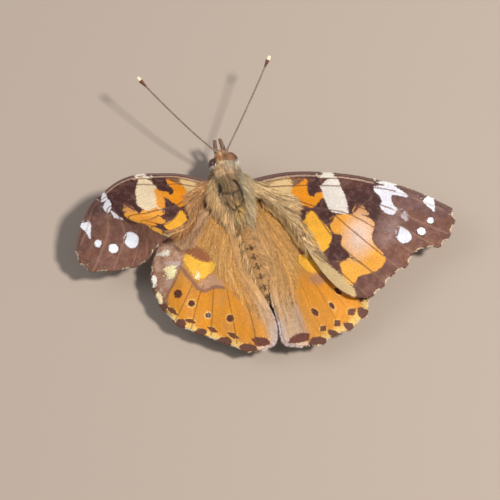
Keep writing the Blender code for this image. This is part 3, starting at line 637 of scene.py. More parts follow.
FOREWING_SPOTS = [
    ((242, 242, 248), (26.6, -0.85), (0.48, 0.46)),
    ((242, 242, 248), (25.6, -2.65), (0.60, 0.58)),
]
# Along this crease of the left forewing's fold the scales carry painted shade.
LEFT_CREASE_SHADE_LINE = [(17.6, 3.8), (18, 1.6), (19.6, -0.4), (20.2, -2.4), (19.8, -3.6), (18.7, -5.4), (18.7, -9),
               (17.2, -11.2)]
HINDWING_MARKS = [
    ("grey brown front", (172, 128, 102), 0.14,
     [(-3.8, 0.5), (-4.4, 2.6), (-3.8, 4.6), (-2, 5.7), (1, 6.9), (4.2, 8.6), (8.1, 9.6), (12.3, 8.9),
      (15.2, 7), (14.8, 5.9), (13.1, 6.2), (11.5, 6), (9.9, 5.5), (7.2, 4.9), (5.4, 4.5), (3.1, 4),
      (0, 2.4)]),
    ("lavender band", (190, 166, 158), 0.14,
     [(6.9, 7.4), (7.3, 5.2), (8.2, 5.2), (8, 7.4)]),
    ("white on the front edge", (228, 218, 198), 0.10,
     [(5.8, 9), (5.8, 7), (6.7, 7.1), (6.9, 8.8)]),
    ("pale front patch", (244, 230, 176), 0.10,
     [(9.4, 7.4), (8.5, 7.1), (8.1, 5.8), (9.5, 5.7), (10.1, 6.5)]),
    ("red brown above yellow", (148, 92, 58), 0.16,
     [(4.2, 4.9), (4.6, 2.5), (5.9, 1), (6.9, 1.5), (6.5, 3), (5.9, 4.1), (5.4, 5.2)]),
    ("yellow patch", (242, 184, 66), 0.07,
     [(5.9, 4.8), (6, 4.2), (6.6, 3), (6.8, 1.8), (6.5, 0.3), (7.3, 0.1), (8.2, 0.7), (9.4, 1.9),
      (9.7, 2.7), (9, 3.3), (7.9, 4.3), (6.8, 4.8)]),
    ("white in yellow", (250, 234, 190), 0.10,
     [(8.5, 3.5), (8.6, 2.4), (9.4, 2.3), (9.4, 3.1)]),
    ("dark on front margin", (122, 86, 68), 0.10,
     [(11.4, 8.8), (11.6, 8), (12.2, 7.4), (12.9, 6.9), (13.8, 6.3), (14.2, 6.6), (12.5, 8.1)]),
    ("dark bar at inner corner", (104, 60, 48), 0.05,
     [(17.8, -6), (17.2, -6.6), (16.9, -7.2), (16.9, -8.2), (17.2, -8.8), (17.7, -9), (18.1, -8.2),
      (18.3, -7.2)]),
]
HINDWING_EDGE_MARKS = [
    ("white front lunule", (244, 236, 226), 0.05,
     [(10.5, 9.1), (10, 8.5), (10.6, 8), (11.4, 8), (11.9, 8.4), (11.6, 9)]),
    ("cream front lunule", (240, 216, 170), 0.05,
     [(12.1, 8.1), (12.5, 7.3), (13.5, 6.7), (14.5, 6.6), (14.3, 7.2), (13.2, 8)]),
    ("yellow front lunule", (240, 206, 136), 0.07,
     [(15.4, 6.1), (15.8, 4.5), (16.4, 4.1), (16.8, 4.6), (16.2, 5.6)]),
]
BESIDE_STRIP = ("beside the inner strip", (240, 176, 60), 0.12,
                [(6.4, 0.4), (7.6, -0.3), (9, 0.1), (10, 1), (10, 2.2), (8.6, 3), (6.6, 2.6)])
HINDWING_SPOTS = [
    ((12.2, 4.8), (0.66, 0.58), None, None),
    ((13.3, 2.65), (0.52, 0.46), (236, 180, 92), None),
    ((14.7, 0), (0.42, 0.40), (236, 192, 122), (118, 108, 110)),
    ((14.65, -3.2), (0.58, 0.52), (232, 166, 76), None),
]
HINDWING_LUNULES = [((14.4, 5.9), (15.3, 4.2)), ((15.8, 3.1), (16.1, 1.4)),
                    ((16.5, -0.1), (17, -1.7)), ((16.8, -3), (17.5, -4.8))]
HINDWING_MARGIN_SPOTS = [((14.6, 6.4), (0.50, 0.55)), ((16.6, 3.6), (0.62, 0.62)),
                         ((17.4, 0.6), (0.44, 0.62)), ((18.1, -2.9), (0.52, 0.78)),
                         ((19, -6.2), (0.70, 1.05))]
BELOW_YELLOW = ("below the yellow patch", (192, 146, 112), 0.20,
                rounded([(9.7, 2.5), (9.2, 1.4), (8.4, 0.7), (8.9, -0.8), (10, -1.6), (10.5, 0.3),
                         (11.1, 1.2), (10.5, 2.6)]))
HINDWING_DARK_LINE = [(8.1, 5.1), (9.2, 4.1), (10, 3.2), (10.9, 2.3), (11.2, 1.2), (10.5, 0.3),
                      (10.2, -0.5), (10.2, -1.7)]
HINDWING_RIM_LINE = [(7.2, 4.9), (9.9, 5.5), (11.5, 6), (13.1, 6.2), (14.6, 5.7)]
HINDWING_FOLD = {
    "left": [(0.1, 0.6), (2.8, -1.5), (6.1, -4.1), (9.7, -5.6), (12.8, -7), (16.4, -8.6)],
    "right": [(0.1, 0.6), (2.8, -1.5), (6.1, -3.6), (9.7, -4.6), (12.8, -5.2), (17, -6.4)],
}
INNER_EDGE = [(18.4, -9.8), (12.1, -9), (6.8, -6.9), (2.4, -4.8), (-0.6, -3), (-2.6, -1.5)]
# How far out each ring of an underside's eyespot reaches, and its colour
EYESPOT_RINGS = ((2.1, (222, 196, 130)), (1.6, (92, 66, 48)), (1.2, (186, 160, 96)), (0.75, (70, 84, 104)))
for marks in (FOREWING_MARKS, RIGHT_MARKS, LEFT_MARKS, HINDWING_MARKS, HINDWING_EDGE_MARKS):
    for number, (word, colour, soft, outline) in enumerate(marks):
        marks[number] = (word, colour, soft, rounded(outline))


def paint(colours, points, marks, draws, cream=None):
    for _, colour, soft, outline in marks:
        colours[inside(points + draws.normal(0.0, soft, points.shape), outline)] = tone(*(colour or cream))


def ellipse(points, centre, radii):
    return np.hypot((points[:, 0] - centre[0]) / radii[0], (points[:, 1] - centre[1]) / radii[1])


def patchy(points, size, seed):
    """Slow light and dark drift over a wing, about 1."""
    return 1.0 + 0.10 * np.sin(waver(points / size, 1.0, seed)[:, :1] * 1.7)


def forewing_colours(points, draws, hand):
    """The upper side of a forewing at flat places."""
    loose = points + waver(points, 0.05, 3)
    (x, y), far = loose.T, points[:, 0]
    outer_brown, tip_brown = WING_BROWNS[hand]
    colours = plain(len(points), *UMBER)
    outward = ramp((x - 19.0 - 0.25 * y) / 3.0)
    lay(colours, 0.9 * outward, *outer_brown)
    rust = outward * ramp(np.sin(waver(points, 1.6, 29)[:, 0] * 1.2 + points[:, 1]))
    lay(colours, 0.30 * rust, 142, 92, 60)
    toward_tip = outward * ramp((y + 0.6) / 1.6)
    lay(colours, 0.7 * toward_tip, *tip_brown)
    lay(colours, (7.4 - x - 0.15 * y) / 2.2, 168, 124, 78)
    along_rear = ramp((9.4 - np.hypot(x + 1.0, y)) / 3.0)
    lay(colours, along_rear * (y < -0.8), 164, 122, 74)
    marks = RIGHT_MARKS if hand == "right" else LEFT_MARKS
    paint(colours, loose, FOREWING_MARKS + marks, draws, CREAM[hand])
    for colour, centre, radii in FOREWING_SPOTS:
        reach = ellipse(points + draws.normal(0.0, 0.02, points.shape), centre, radii)
        colours[reach < 1.35] *= 0.8
        colours[reach < 1.0] = tone(*colour)
    if hand == "right":
        # Painted highlights on the right forewing: a pale one over the orange and a glare over the dark
        # outer part.
        pale_painted_highlight = 0.85 * ramp(1.35 - ellipse(loose, (16.9, -4.8), (2.3, 3.4)))
        lay(colours, pale_painted_highlight * (colours[:, 0] > 0.5), 224, 198, 184)
        glare = 0.55 * ramp(1.4 - ellipse(loose, (20.6, -2.6), (2.0, 3.0)))
        lay(colours, glare * outward * (colours[:, 0] < 0.3), 172, 144, 138)
    else:
        # Painted shade along the crease, over all but the white marks.
        crease = distance_to_line(loose, smooth_curve(LEFT_CREASE_SHADE_LINE, 0.6))
        lay(colours, 0.6 * hump(crease / 0.22) * (colours[:, 2] < 0.5), 58, 36, 32)
    dusky = colours[:, 0] < 0.32
    mottle = two_clouds(points, 0.55, 0.22, (31, 37))
    lay(colours, 0.45 * dusky * ramp(mottle), 166, 128, 118)
    lay(colours, 0.60 * dusky * ramp(-mottle), 60, 34, 32)
    from_costa = distance_to_line(points, smooth_curve(leading_edge(FOREWING), 0.6))
    plain_edge = ~((colours.min(axis=1) > 0.50) & (far > 9.0))
    colours[(from_costa < 0.50) & plain_edge] = tone(82, 54, 50)
    colours[(from_costa < 0.40) & plain_edge] = tone(116, 86, 76)
    streak = (np.abs(from_costa - 0.64) < 0.13) & (far < 17.6) & plain_edge
    lay(colours, 0.8 * streak, 198, 164, 140)
    near_vein = distance_to_lines(points, FOREWING["veins"].values(), 0.8)
    lay(colours, 0.35 * outward * (near_vein < 0.15), 166, 128, 104)
    on_bright = (near_vein < 0.12) & (far < 21.0) & (colours[:, 0] > 0.25)
    lay(colours, 0.70 * on_bright, 128, 80, 44)
    return colours * patchy(points, 2.0, 43)


def hindwing_colours(points, draws, hand):
    """The upper side of a hindwing at flat places."""
    left = hand == "left"
    loose = points + waver(points, 0.06, 5)
    (x, y), far = loose.T, points[:, 0]
    colours = plain(len(points), 220, 142, 36)
    dusty = ramp(1.6 * cloudy(points, 1.5, 49) - 0.5)
    lay(colours, (0.45 if left else 0.10) * dusty, 206, 144, 82)
    lay(colours, 0.85 * ramp((11.6 - x + 0.10 * y) / 3.6), 184, 134, 74)
    fold_line = HINDWING_FOLD[hand]
    toward_fold = distance_to_line(loose, smooth_curve(fold_line, 0.6))
    lay(colours, 0.6 * ramp((2.6 - toward_fold) / 2.2), 206, 146, 74)
    beyond = np.where(inside(loose, fold_line + INNER_EDGE), toward_fold, -toward_fold)
    strip = ramp((beyond + 0.35) / 0.7)
    lay(colours, strip, *((194, 146, 92) if left else (182, 136, 82)))
    lay(colours, 0.5 * hump((beyond - 0.1) / 0.4), 190, 136, 92)
    inner_edge = distance_to_line(points, smooth_curve(HINDWING["dorsum"], 0.6))
    lay(colours, 0.7 * ramp((0.85 - inner_edge) / 0.4) * ramp((far - 9.0) / 3.0), 212, 190, 178)
    lay(colours, 0.6 * strip * ramp((far - 10.5) / 3.0), 196, 168, 146)
    paint(colours, loose, HINDWING_MARKS, draws)
    if left:
        paint(colours, loose, [BELOW_YELLOW], draws)
        for line, width, colour in ((HINDWING_DARK_LINE, 0.24, (132, 90, 82)),
                                    (HINDWING_RIM_LINE, 0.13, (150, 104, 76))):
            near = distance_to_line(loose, smooth_curve(line, 0.5)) + 0.10 * cloudy(points, 0.3, 41) - 0.05
            lay(colours, 0.75 * ramp(1.6 - near / width), *colour)
    else:
        paint(colours, loose, [BESIDE_STRIP], draws)
        smudge = ramp(1.6 - ellipse(loose, (10.8, 1.0), (0.8, 1.4)))
        lay(colours, 0.8 * smudge, 172, 124, 98)
    dull = colours.min(axis=1) <= 0.30
    front = ramp((y - 4.6 - 0.22 * np.clip(x - 6.0, 0.0, 9.0)) / 0.6) * dull
    cloud = two_clouds(points, 0.6, 0.25, (43, 44))
    lay(colours, 0.7 * front * ramp(cloud), 206, 190, 178)
    lay(colours, 0.9 * front * ramp(-cloud), 110, 76, 56)
    rim = distance_to_line(points, scalloped(HINDWING["margin"], 0.6))
    edge = ramp((0.95 - rim) / 0.45) * (far > 10.0) * (points[:, 1] > -6.0)
    lay(colours, 0.75 * edge * (far > 14.0), 240, 200, 116)
    lay(colours, 0.7 * edge * (far <= 14.0) * dull, 130, 92, 72)
    lay(colours, 0.8 * ramp((0.34 - rim) / 0.12) * (far > 8.0) * (far < 15.6), 112, 76, 60)
    paint(colours, loose, HINDWING_EDGE_MARKS, draws)
    for centre, radii, ring, core in HINDWING_SPOTS:
        reach = ellipse(points + draws.normal(0.0, 0.03, points.shape), centre, radii)
        if ring:
            lay(colours, (0.85 if left else 0.35) * (reach < 1.5), *ring)
        colours[reach < 1.0] = tone(92, 50, 34)
        if core and left:
            colours[reach < 0.50] = tone(*core)
    for start, end in np.array(HINDWING_LUNULES):
        chord = end - start
        along = (loose - start) @ chord / float(chord @ chord)
        across = np.abs((loose - start) @ np.array([chord[1], -chord[0]])) / np.linalg.norm(chord)
        thick = 0.40 * ramp(1.0 - np.abs(along - 0.5) * 2.0) ** 0.7
        lay(colours, 0.6 * (across < thick + 0.16) * (thick > 0.05), 240, 190, 96)
        colours[across < thick] = tone(112, 64, 42)
    for centre, radii in HINDWING_MARGIN_SPOTS:
        reach = ellipse(loose + draws.normal(0.0, 0.04, points.shape), centre, radii)
        colours[reach < 1.28] = tone(106, 66, 52)
    near_vein = distance_to_lines(points, HINDWING["veins"].values(), 0.8)
    lay(colours, (0.60 if left else 0.30) * ((near_vein < 0.10) & (far > 10.3)), 134, 84, 40)
    lay(colours, 0.65 * ((toward_fold < 0.09) & (far < 13.0)), 138, 92, 56)
    return colours * patchy(points, 1.6, 47)


def forewing_underside(points, draws):
    """Like the upper side, but paler, with a rose flush in the orange and a sandy tip."""
    colours = forewing_colours(points, draws, "right")
    reddish = (colours[:, 0] > 0.45) & (colours[:, 2] < 0.25)
    lay(colours, 0.55 * reddish, 226, 128, 92)
    tip = ramp((points[:, 0] - 22.0 + 0.4 * points[:, 1]) / 3.0)
    lay(colours, 0.75 * tip, 176, 150, 116)
    return colours


def hindwing_underside(points, draws):
    """Olive brown marbled with cream, pale veins and four ringed eyespots near the margin."""
    marble = np.sin(waver(points, 2.2, 17)[:, 0] * 2.0 + 0.9 * points[:, 0])
    marble += np.sin(waver(points, 1.8, 19)[:, 1] * 2.4 + 1.2 * points[:, 1])
    colours = plain(len(points), 150, 124, 90)
    lay(colours, marble > 0.55, 224, 206, 172)
    lay(colours, marble < -0.9, 112, 88, 62)
    near_vein = distance_to_lines(points, HINDWING["veins"].values(), 0.8)
    lay(colours, 0.9 * (near_vein < 0.16), 232, 216, 184)
    for centre, radii, _, _ in HINDWING_SPOTS:
        reach = ellipse(points, centre, radii)
        for edge, colour in EYESPOT_RINGS:
            colours[reach < edge] = tone(*colour)
    rim = distance_to_line(points, scalloped(HINDWING["margin"], 0.6))
    lay(colours, rim < 0.5, 214, 186, 140)
    return colours


# Wing meshes
MEMBRANE_HALF = 0.07
GRID = 0.34
VEIN_SIZES = (0.17, 0.09)       # half width of a vein at its root and at its end
VEIN_SIDES = 7
VEIN_PATCH = 0.0008
VEIN_SHADE = 0.82
RIM_WIDTH = 0.5
THINNEST = 0.25
COVER_LIFT = 0.035
WAIST = 0.72                    # how far along a scale it is widest
ROOT_WIDTH = 0.55
FRINGE_PASSES = 6
FRINGE_HAIRS = 520
WING_MAP_LOW = np.array([-3.5, -15.5])
WING_MAP_SIZE = np.array([34.5, 26.5])


def wing_map(points, upper=True):
    """Places on the bake map: the upper side fills its left half, the underside its right half."""
    u, v = ((points - WING_MAP_LOW) / WING_MAP_SIZE).T
    return np.column_stack([u * 0.5 + (0.0 if upper else 0.5), v])


def spread_points(outline, pitch_u, pitch_v, draws, wobble):
    """Rows of places that fill an outline, each row set off half a step from the last."""
    low, high = outline.min(axis=0), outline.max(axis=0)
    columns = np.arange(low[0], high[0], pitch_u)
    rows = np.arange(low[1], high[1], pitch_v)
    grid_u, grid_v = np.meshgrid(columns, rows, indexing="ij")
    grid_v = grid_v + 0.5 * pitch_v * (np.arange(len(columns)) % 2)[:, None]
    points = np.column_stack([grid_u.ravel(), grid_v.ravel()])
    points += draws.normal(0.0, 1.0, points.shape) * (wobble * pitch_u, wobble * pitch_v)
    return points[inside(points, outline)]


def membrane(name, wing, over, under, draws):
    """The thin wing with its veins, coloured on both sides."""
    outline = wing.outline(GRID)
    filling = spread_points(outline, GRID * 0.87, GRID, draws, 0.0)
    filling = filling[distance_to_line(filling, closed(outline)) > 0.5 * GRID]
    flat = [Vector((float(u), float(v))) for u, v in np.vstack([outline, filling])]
    border = list(range(len(outline)))
    edges = list(zip(border, border[1:] + border[:1]))
    verts, _, faces, _, _, _ = delaunay_2d_cdt(flat, edges, [border], 1, 1e-5)
    places = np.array([tuple(v) for v in verts])
    faces = np.array([tuple(f) for f in faces])
    middle, normal = wing.at(places), wing.normals(places)
    count = len(places)
    thin = np.clip(distance_to_line(places, closed(outline)) / RIM_WIDTH, THINNEST, 1.0)
    reach = (MEMBRANE_HALF * thin)[:, None]
    sides = {(start, end): None for a, b, c in faces.tolist() for start, end in ((a, b), (b, c), (c, a))}
    rim = []
    for start, end in sides:
        if (end, start) not in sides:
            rim += [(start, start + count, end + count), (start, end + count, end)]
    triangles = np.vstack([faces, faces[:, ::-1] + count, np.array(rim)])
    a, b, c = middle[faces[0]]
    if np.cross(b - a, c - a) @ normal[faces[0, 0]] < 0.0:
        triangles = triangles[:, ::-1]
    gathered = Gathered()
    gathered.add(np.vstack([middle + normal * reach, middle - normal * reach]), triangles,
                 np.vstack([over(places, draws), under(places, draws)]),
                 np.vstack([wing_map(places), wing_map(places, False)]))
    for route in wing.shape["veins"].values():
        route = smooth_curve(route, 0.45)
        clear = distance_to_line(route, closed(outline)) > 0.12
        add_vein(gathered, route[inside(route, outline) & clear], wing, over, draws)
    leading = smooth_curve(leading_edge(wing.shape), 0.5)[2:-1]
    add_vein(gathered, leading - (0.0, 0.10), wing, over, draws, 1.25)
    gathered.piece(name + "_membrane", membrane_finish, "wing_scales", name)


def add_vein(gathered, route, wing, over, draws, bigger=1.0):
    """A tapering tube along a flat route, through the membrane."""
    centres, normals = wing.at(route), wing.normals(route)
    across = np.cross(normals, unit(np.gradient(centres, axis=0)))
    count = len(route)
    size = bigger * (VEIN_SIZES[0] + (VEIN_SIZES[1] - VEIN_SIZES[0]) * np.linspace(0.0, 1.0, count))
    size[-1] *= 0.4
    angles = np.arange(VEIN_SIDES) * math.tau / VEIN_SIDES
    around = np.column_stack([np.cos(angles), np.sin(angles)]) * VEIN_PATCH
    gathered.add(rings_round(centres, size, across, normals, VEIN_SIDES),
                 np.vstack([wall(count, VEIN_SIDES), fans(count, VEIN_SIDES)]),
                 np.repeat(over(route, draws) * VEIN_SHADE, VEIN_SIDES, axis=0),
                 np.repeat(wing_map(route), VEIN_SIDES, axis=0) + np.tile(around, (count, 1)))


def scale_cover(name, wing, colours, upper, pitch, draws, lean=0.30):
    """Shingled scales on one side of a wing. Each is a little kite with a raised tip."""
    roots = spread_points(wing.outline(0.5), pitch[0], pitch[1], draws, 0.16)
    u, v = wing.flow(roots).T
    turn = draws.normal(0.0, 0.10, len(roots))
    ahead = np.column_stack([u * np.cos(turn) - v * np.sin(turn), u * np.sin(turn) + v * np.cos(turn)])
    across = np.column_stack([-ahead[:, 1], ahead[:, 0]])
    length = (pitch[0] * draws.uniform(1.6, 2.0, len(roots)))[:, None]
    half = (pitch[1] * draws.uniform(0.50, 0.62, len(roots)))[:, None]
    flat = [roots - across * half * ROOT_WIDTH, roots + across * half * ROOT_WIDTH,
            roots + ahead * length * WAIST + across * half,
            roots + ahead * length,
            roots + ahead * length * WAIST - across * half]
    side = 1.0 if upper else -1.0
    corners = [wing.at(place) + side * wing.normals(place) * (MEMBRANE_HALF + COVER_LIFT
                                                              + pitch[0] * lean * height)
               for place, height in zip(flat, (0.0, 0.0, WAIST, 1.0, WAIST))]
    tints = colours(roots, draws) * draws.lognormal(0.0, 0.10, (len(roots), 1))
    cover = Gathered()
    cover.add_copies(corners, KITE if upper else np.array(KITE)[:, ::-1], tints, KITE_SHADES,
                     wing_map(roots, upper), WING_KITE_PATCH)
    cover.piece(name, scale_finish, "wing_scales", smooth=False)


def fringe(gathered, wing, draws):
    """Hair-like scales along the outer margin, dark at the vein ends and pale in the bays."""
    margin = scalloped(wing.shape["margin"], 0.10)
    ends = np.array(wing.shape["margin"])
    middles = ends[:-1] * 0.5 + ends[1:] * 0.5
    count = FRINGE_HAIRS
    for _ in range(FRINGE_PASSES):
        place = margin[draws.integers(1, len(margin) - 1, count)] + draws.normal(0.0, 0.05, (count, 2))
        ahead = wing.flow(place) + draws.normal(0.0, 0.12, (count, 2))
        start = wing.at(place - ahead * 0.25)
        direction = unit(wing.at(place + ahead * 0.25) - start)
        normal = wing.normals(place)
        bay = np.min(np.linalg.norm(place[:, None, :] - middles[None], axis=2), axis=1)
        pale = bay < 0.62 + draws.normal(0.0, 0.08, count)
        tint = np.where(pale[:, None], tone(228, 206, 172), tone(104, 72, 58))
        length = draws.uniform(0.40, 0.62, count)
        ribbons(gathered, start + normal * draws.normal(0.0, 0.04, (count, 1)), direction, normal, length,
                0.085, tint * draws.lognormal(0.0, 0.12, (count, 1)), wing_map(place),
                normal * draws.normal(0.0, 0.05, (count, 1)))


def wing_hair(gathered, wing, draws, region, amount, tint, length, lift=0.18, turn=(0.0, 0.0), droop=0.2,
              mess=0.06):
    """Long hair over part of the upper side, combed back along the wing in streaks."""
    region = np.array(region)
    roots = draws.uniform(region.min(axis=0), region.max(axis=0), (full(amount) * 3, 2))
    roots = roots[inside(roots, region)][:full(amount)]
    roots = roots[inside(roots, wing.outline(0.6))]
    ahead = wing.flow(roots) + waver(roots * 1.1, 0.12, 53) + draws.normal(0.0, mess, roots.shape) + turn
    start, normal = wing.at(roots), wing.normals(roots)
    direction = unit(wing.at(roots + ahead * 0.3) - start)
    lengths = draws.uniform(0.6, 1.0, len(roots)) * length
    away = roots - np.array(wing.shape["source"])
    lock = streaks(np.arctan2(away[:, 1], away[:, 0]) * 9.0, np.linalg.norm(away, axis=1), 59)
    tints = tint * lock * draws.lognormal(0.0, 0.10, (len(roots), 1))
    ribbons(gathered, start + normal * (MEMBRANE_HALF + COVER_LIFT), unit(direction + normal * lift), normal,
            lengths, draws.uniform(0.045, 0.08, len(roots)), tints, wing_map(roots), -normal * droop)


def inner_fringe(gathered, wing, amount, draws):
    """Pale soft hair along the inner margin of a hindwing."""
    margin = smooth_curve(wing.shape["dorsum"], 0.05)
    margin = margin[margin[:, 0] > 3.0]
    place = margin[draws.integers(0, len(margin), amount)]
    ahead = wing.flow(place) + (0.0, -0.75) + draws.normal(0.0, 0.10, place.shape)
    start, normal = wing.at(place + (0.0, 0.10)), wing.normals(place)
    tint = plain(amount, 206, 164, 112)
    lay(tint, (place[:, 0] - 9.0) / 5.0, 190, 168, 160)
    ribbons(gathered, start, unit(wing.at(place + ahead * 0.25) - start), normal,
            draws.uniform(0.3, 0.85, amount), draws.uniform(0.05, 0.085, amount),
            tint * draws.lognormal(0.0, 0.22, (amount, 1)), wing_map(place), -normal * 0.10)


# Body: one skin from the face to the tip of the abdomen, then its coat
HEAD_X = -0.25
ABDOMEN_Y = (6.25, 18.0)
ABDOMEN_RADIUS = 1.72
ABDOMEN_COAT = 0.20
SEGMENTS = 8
# y, centre x, centre z, half width, half height
FORE_STATIONS = [
    (-6.90, -0.24, 4.72, 0.04, 0.05), (-6.80, -0.24, 4.74, 0.34, 0.44), (-6.48, -0.24, 4.88, 0.68, 0.84),
    (-6.00, -0.24, 5.12, 1.00, 1.12), (-5.45, -0.23, 5.26, 1.12, 1.24), (-4.95, -0.17, 5.26, 1.08, 1.18),
    (-4.55, -0.07, 5.20, 0.96, 1.00), (-4.20, 0.05, 5.18, 0.98, 0.98), (-3.85, 0.14, 5.20, 1.26, 1.20),
    (-3.15, 0.22, 5.20, 1.86, 1.66), (-2.00, 0.28, 5.20, 2.40, 2.10), (0.00, 0.30, 5.20, 2.68, 2.30),
    (1.50, 0.30, 5.20, 2.64, 2.26), (3.00, 0.28, 5.18, 2.30, 2.00), (4.20, 0.26, 5.12, 1.78, 1.64),
    (5.20, 0.22, 5.02, 1.28, 1.28), (5.85, 0.18, 4.88, 1.06, 1.08),
]
NECK, THORAX_END = -4.35, 5.6
EYE_CENTRES = {"left": (1, np.array([HEAD_X + 1.50, -4.90, 5.26])),
               "right": (-1, np.array([HEAD_X - 1.28, -4.92, 5.24]))}
EYE_RADII = np.array([0.82, 0.97, 0.97])
NECK_MARK = [(0.6, -5), (0.3, -4.1), (-0.6, -4.4)]
# Partings in the fur of the back, seen from above, darkened with painted shade
PARTINGS = [
    [(1.75, -0.8), (1.9, -0.1), (2.15, 0.5), (1.75, 0.2), (1.75, -0.6)],
    [(1.7, 0.8), (0.8, 1.2), (0, 1.3), (-0.7, 1)],
    [(-0.5, -0.8), (-1, 0.2), (-1.1, 1.4), (-1.2, 2.8), (-1.5, 4.4), (-1, 5.5), (-0.2, 6.1)],
    [(0.6, 2.6), (0.2, 3.5), (-0.8, 2.9), (-1.5, 1.8)],
    [(1.7, 2.3), (1, 3.6), (0.1, 4.3)],
    [(2.3, 5), (1.6, 5.6), (1.8, 4.6)],
]
ABDOMEN_LENGTH = ABDOMEN_Y[1] - ABDOMEN_Y[0]


def segment_at(y):
    """Where a place lies along the abdomen, counted in segments, and how far from a joint."""
    segment = (y - ABDOMEN_Y[0]) / ABDOMEN_LENGTH * SEGMENTS
    return segment, np.abs(segment - np.round(segment)) / SEGMENTS * ABDOMEN_LENGTH


def abdomen_middle(along):
    return 0.15 - 0.45 * along, 4.75 - 0.35 * along - 1.10 * along ** 2


def abdomen_station(along):
    radius = ABDOMEN_RADIUS * (0.80 + 0.75 * along - 0.95 * along ** 2) * (1.0 - 0.42 * along ** 4)
    radius -= ABDOMEN_COAT
    return (ABDOMEN_Y[0] + along * ABDOMEN_LENGTH, *abdomen_middle(along), radius, radius * 0.96)


def body_stations():
    rear = [abdomen_station(along) for along in (0.04, 0.12, 0.25, 0.4, 0.55, 0.7, 0.82, 0.91, 0.97)]
    y, x, z, wide, tall = abdomen_station(1.0)
    rear += [(y - 0.02, x, z, wide * 0.80, tall * 0.80), (y + 0.20, x, z, wide * 0.42, tall * 0.42),
             (y + 0.26, x, z, 0.03, 0.03)]
    return smooth_curve(FORE_STATIONS + rear, 0.13)


class Body:
    """The body's surface, a grid of rings and sides, and the roots of its hair."""

    def __init__(self):
        self.stations = body_stations()
        self.rings, self.sides = len(self.stations), 96
        angles = np.arange(self.sides) * math.tau / self.sides
        y, x, z, wide, tall = self.stations.T[:, :, None]
        wide, tall = np.maximum(wide, 0.02), np.maximum(tall, 0.02)
        y = np.broadcast_to(y, (self.rings, self.sides))
        places = np.stack([x + wide * np.sin(angles), y, z + tall * np.cos(angles)], axis=-1)
        outward = unit(np.stack([np.sin(angles) / wide, 0.0 * y, np.cos(angles) / tall], axis=-1))
        self.grid = places + outward * self.relief(places)[..., None]
        ahead = np.gradient(self.grid, axis=0)
        around = np.roll(self.grid, -1, axis=1) - np.roll(self.grid, 1, axis=1)
        normal = np.cross(ahead, around)
        self.area = np.linalg.norm(normal, axis=-1) * 0.5
        self.normal, self.back = unit(normal), unit(ahead)
        middle = self.rings // 2
        if self.normal[middle, 0] @ (self.grid[middle, 0] - self.grid[middle].mean(axis=0)) < 0:
            self.normal = -self.normal

    def relief(self, places):
        """Collar, shoulder and scutellum humps, the groove down the back and the segments."""
        x, y = places[..., 0] - 0.25, places[..., 1]
        height = 0.34 * hump(x / 0.85, (y - 3.7) / 0.50) - 0.14 * hump((y - 2.9) / 0.13)
        height -= 0.16 * hump(x / 0.10) * (y > -2.6) * (y < 2.7)
        for side in (-1, 1):
            height += 0.32 * hump((x - side * 0.85) / 0.55, (y + 3.1) / 0.50)
            height += 0.30 * hump((x - side * 2.0) / 0.60, (y + 1.4) / 1.2)
            height += 0.10 * hump((x + 0.5 - side * 0.55) / 0.35, (y + 5.3) / 0.4)
        height *= ramp(places[..., 2] - 5.6)
        segment, from_joint = segment_at(y)
        return height - 0.08 * hump(from_joint / 0.11) * (segment > 0.4) * (segment < SEGMENTS - 0.5)

    def bake(self, ring, side):
        return np.column_stack([side / self.sides, ring / (self.rings - 1)])

    def roots(self, amount, first, last, draws):
        """Even places between two values of y: place, normal, way back, place on the bake map."""
        chosen = (self.stations[:, 0] >= first) & (self.stations[:, 0] <= last)
        weight = (self.area * chosen[:, None]).ravel()
        picked = draws.choice(weight.size, size=amount, p=weight / weight.sum())
        ring = picked // self.sides + draws.uniform(-0.5, 0.5, amount)
        side = picked % self.sides + draws.uniform(-0.5, 0.5, amount)
        ring, side = np.clip(ring, 0.0, self.rings - 1.001), side % self.sides
        low, left = ring.astype(int), side.astype(int)
        up, over = (ring - low)[:, None], (side - left)[:, None]
        left, right = left % self.sides, (left + 1) % self.sides

        def read(grid):
            first = grid[low, left] * (1 - over) + grid[low, right] * over
            second = grid[low + 1, left] * (1 - over) + grid[low + 1, right] * over
            return first * (1 - up) + second * up

        return read(self.grid), unit(read(self.normal)), unit(read(self.back)), self.bake(ring, side)

    def skin(self, draws):
        points = self.grid.reshape(-1, 3)
        ring, side = np.divmod(np.arange(len(points)), self.sides)
        tint = body_colours(points, draws) * 0.72
        # Painted shade on the skin where the fur parts.
        lay(tint, parted_share(points, 0.30), 40, 28, 18)
        triangles = np.vstack([wall(self.rings, self.sides)[:, [0, 2, 1]], fans(self.rings, self.sides)])
        piece_from("body_skin", points, triangles, tint, self.bake(ring, side), skin_finish, "body_hair",
                   "head", "thorax", "abdomen")


def kept(chosen, *arrays):
    return [array[chosen] for array in arrays]


def parted_share(points, width):
    near = ramp(1.3 - distance_to_lines(points[:, :2], PARTINGS, 0.3) / width)
    return near * (points[:, 2] > 5.6) * (points[:, 1] > -1.6)


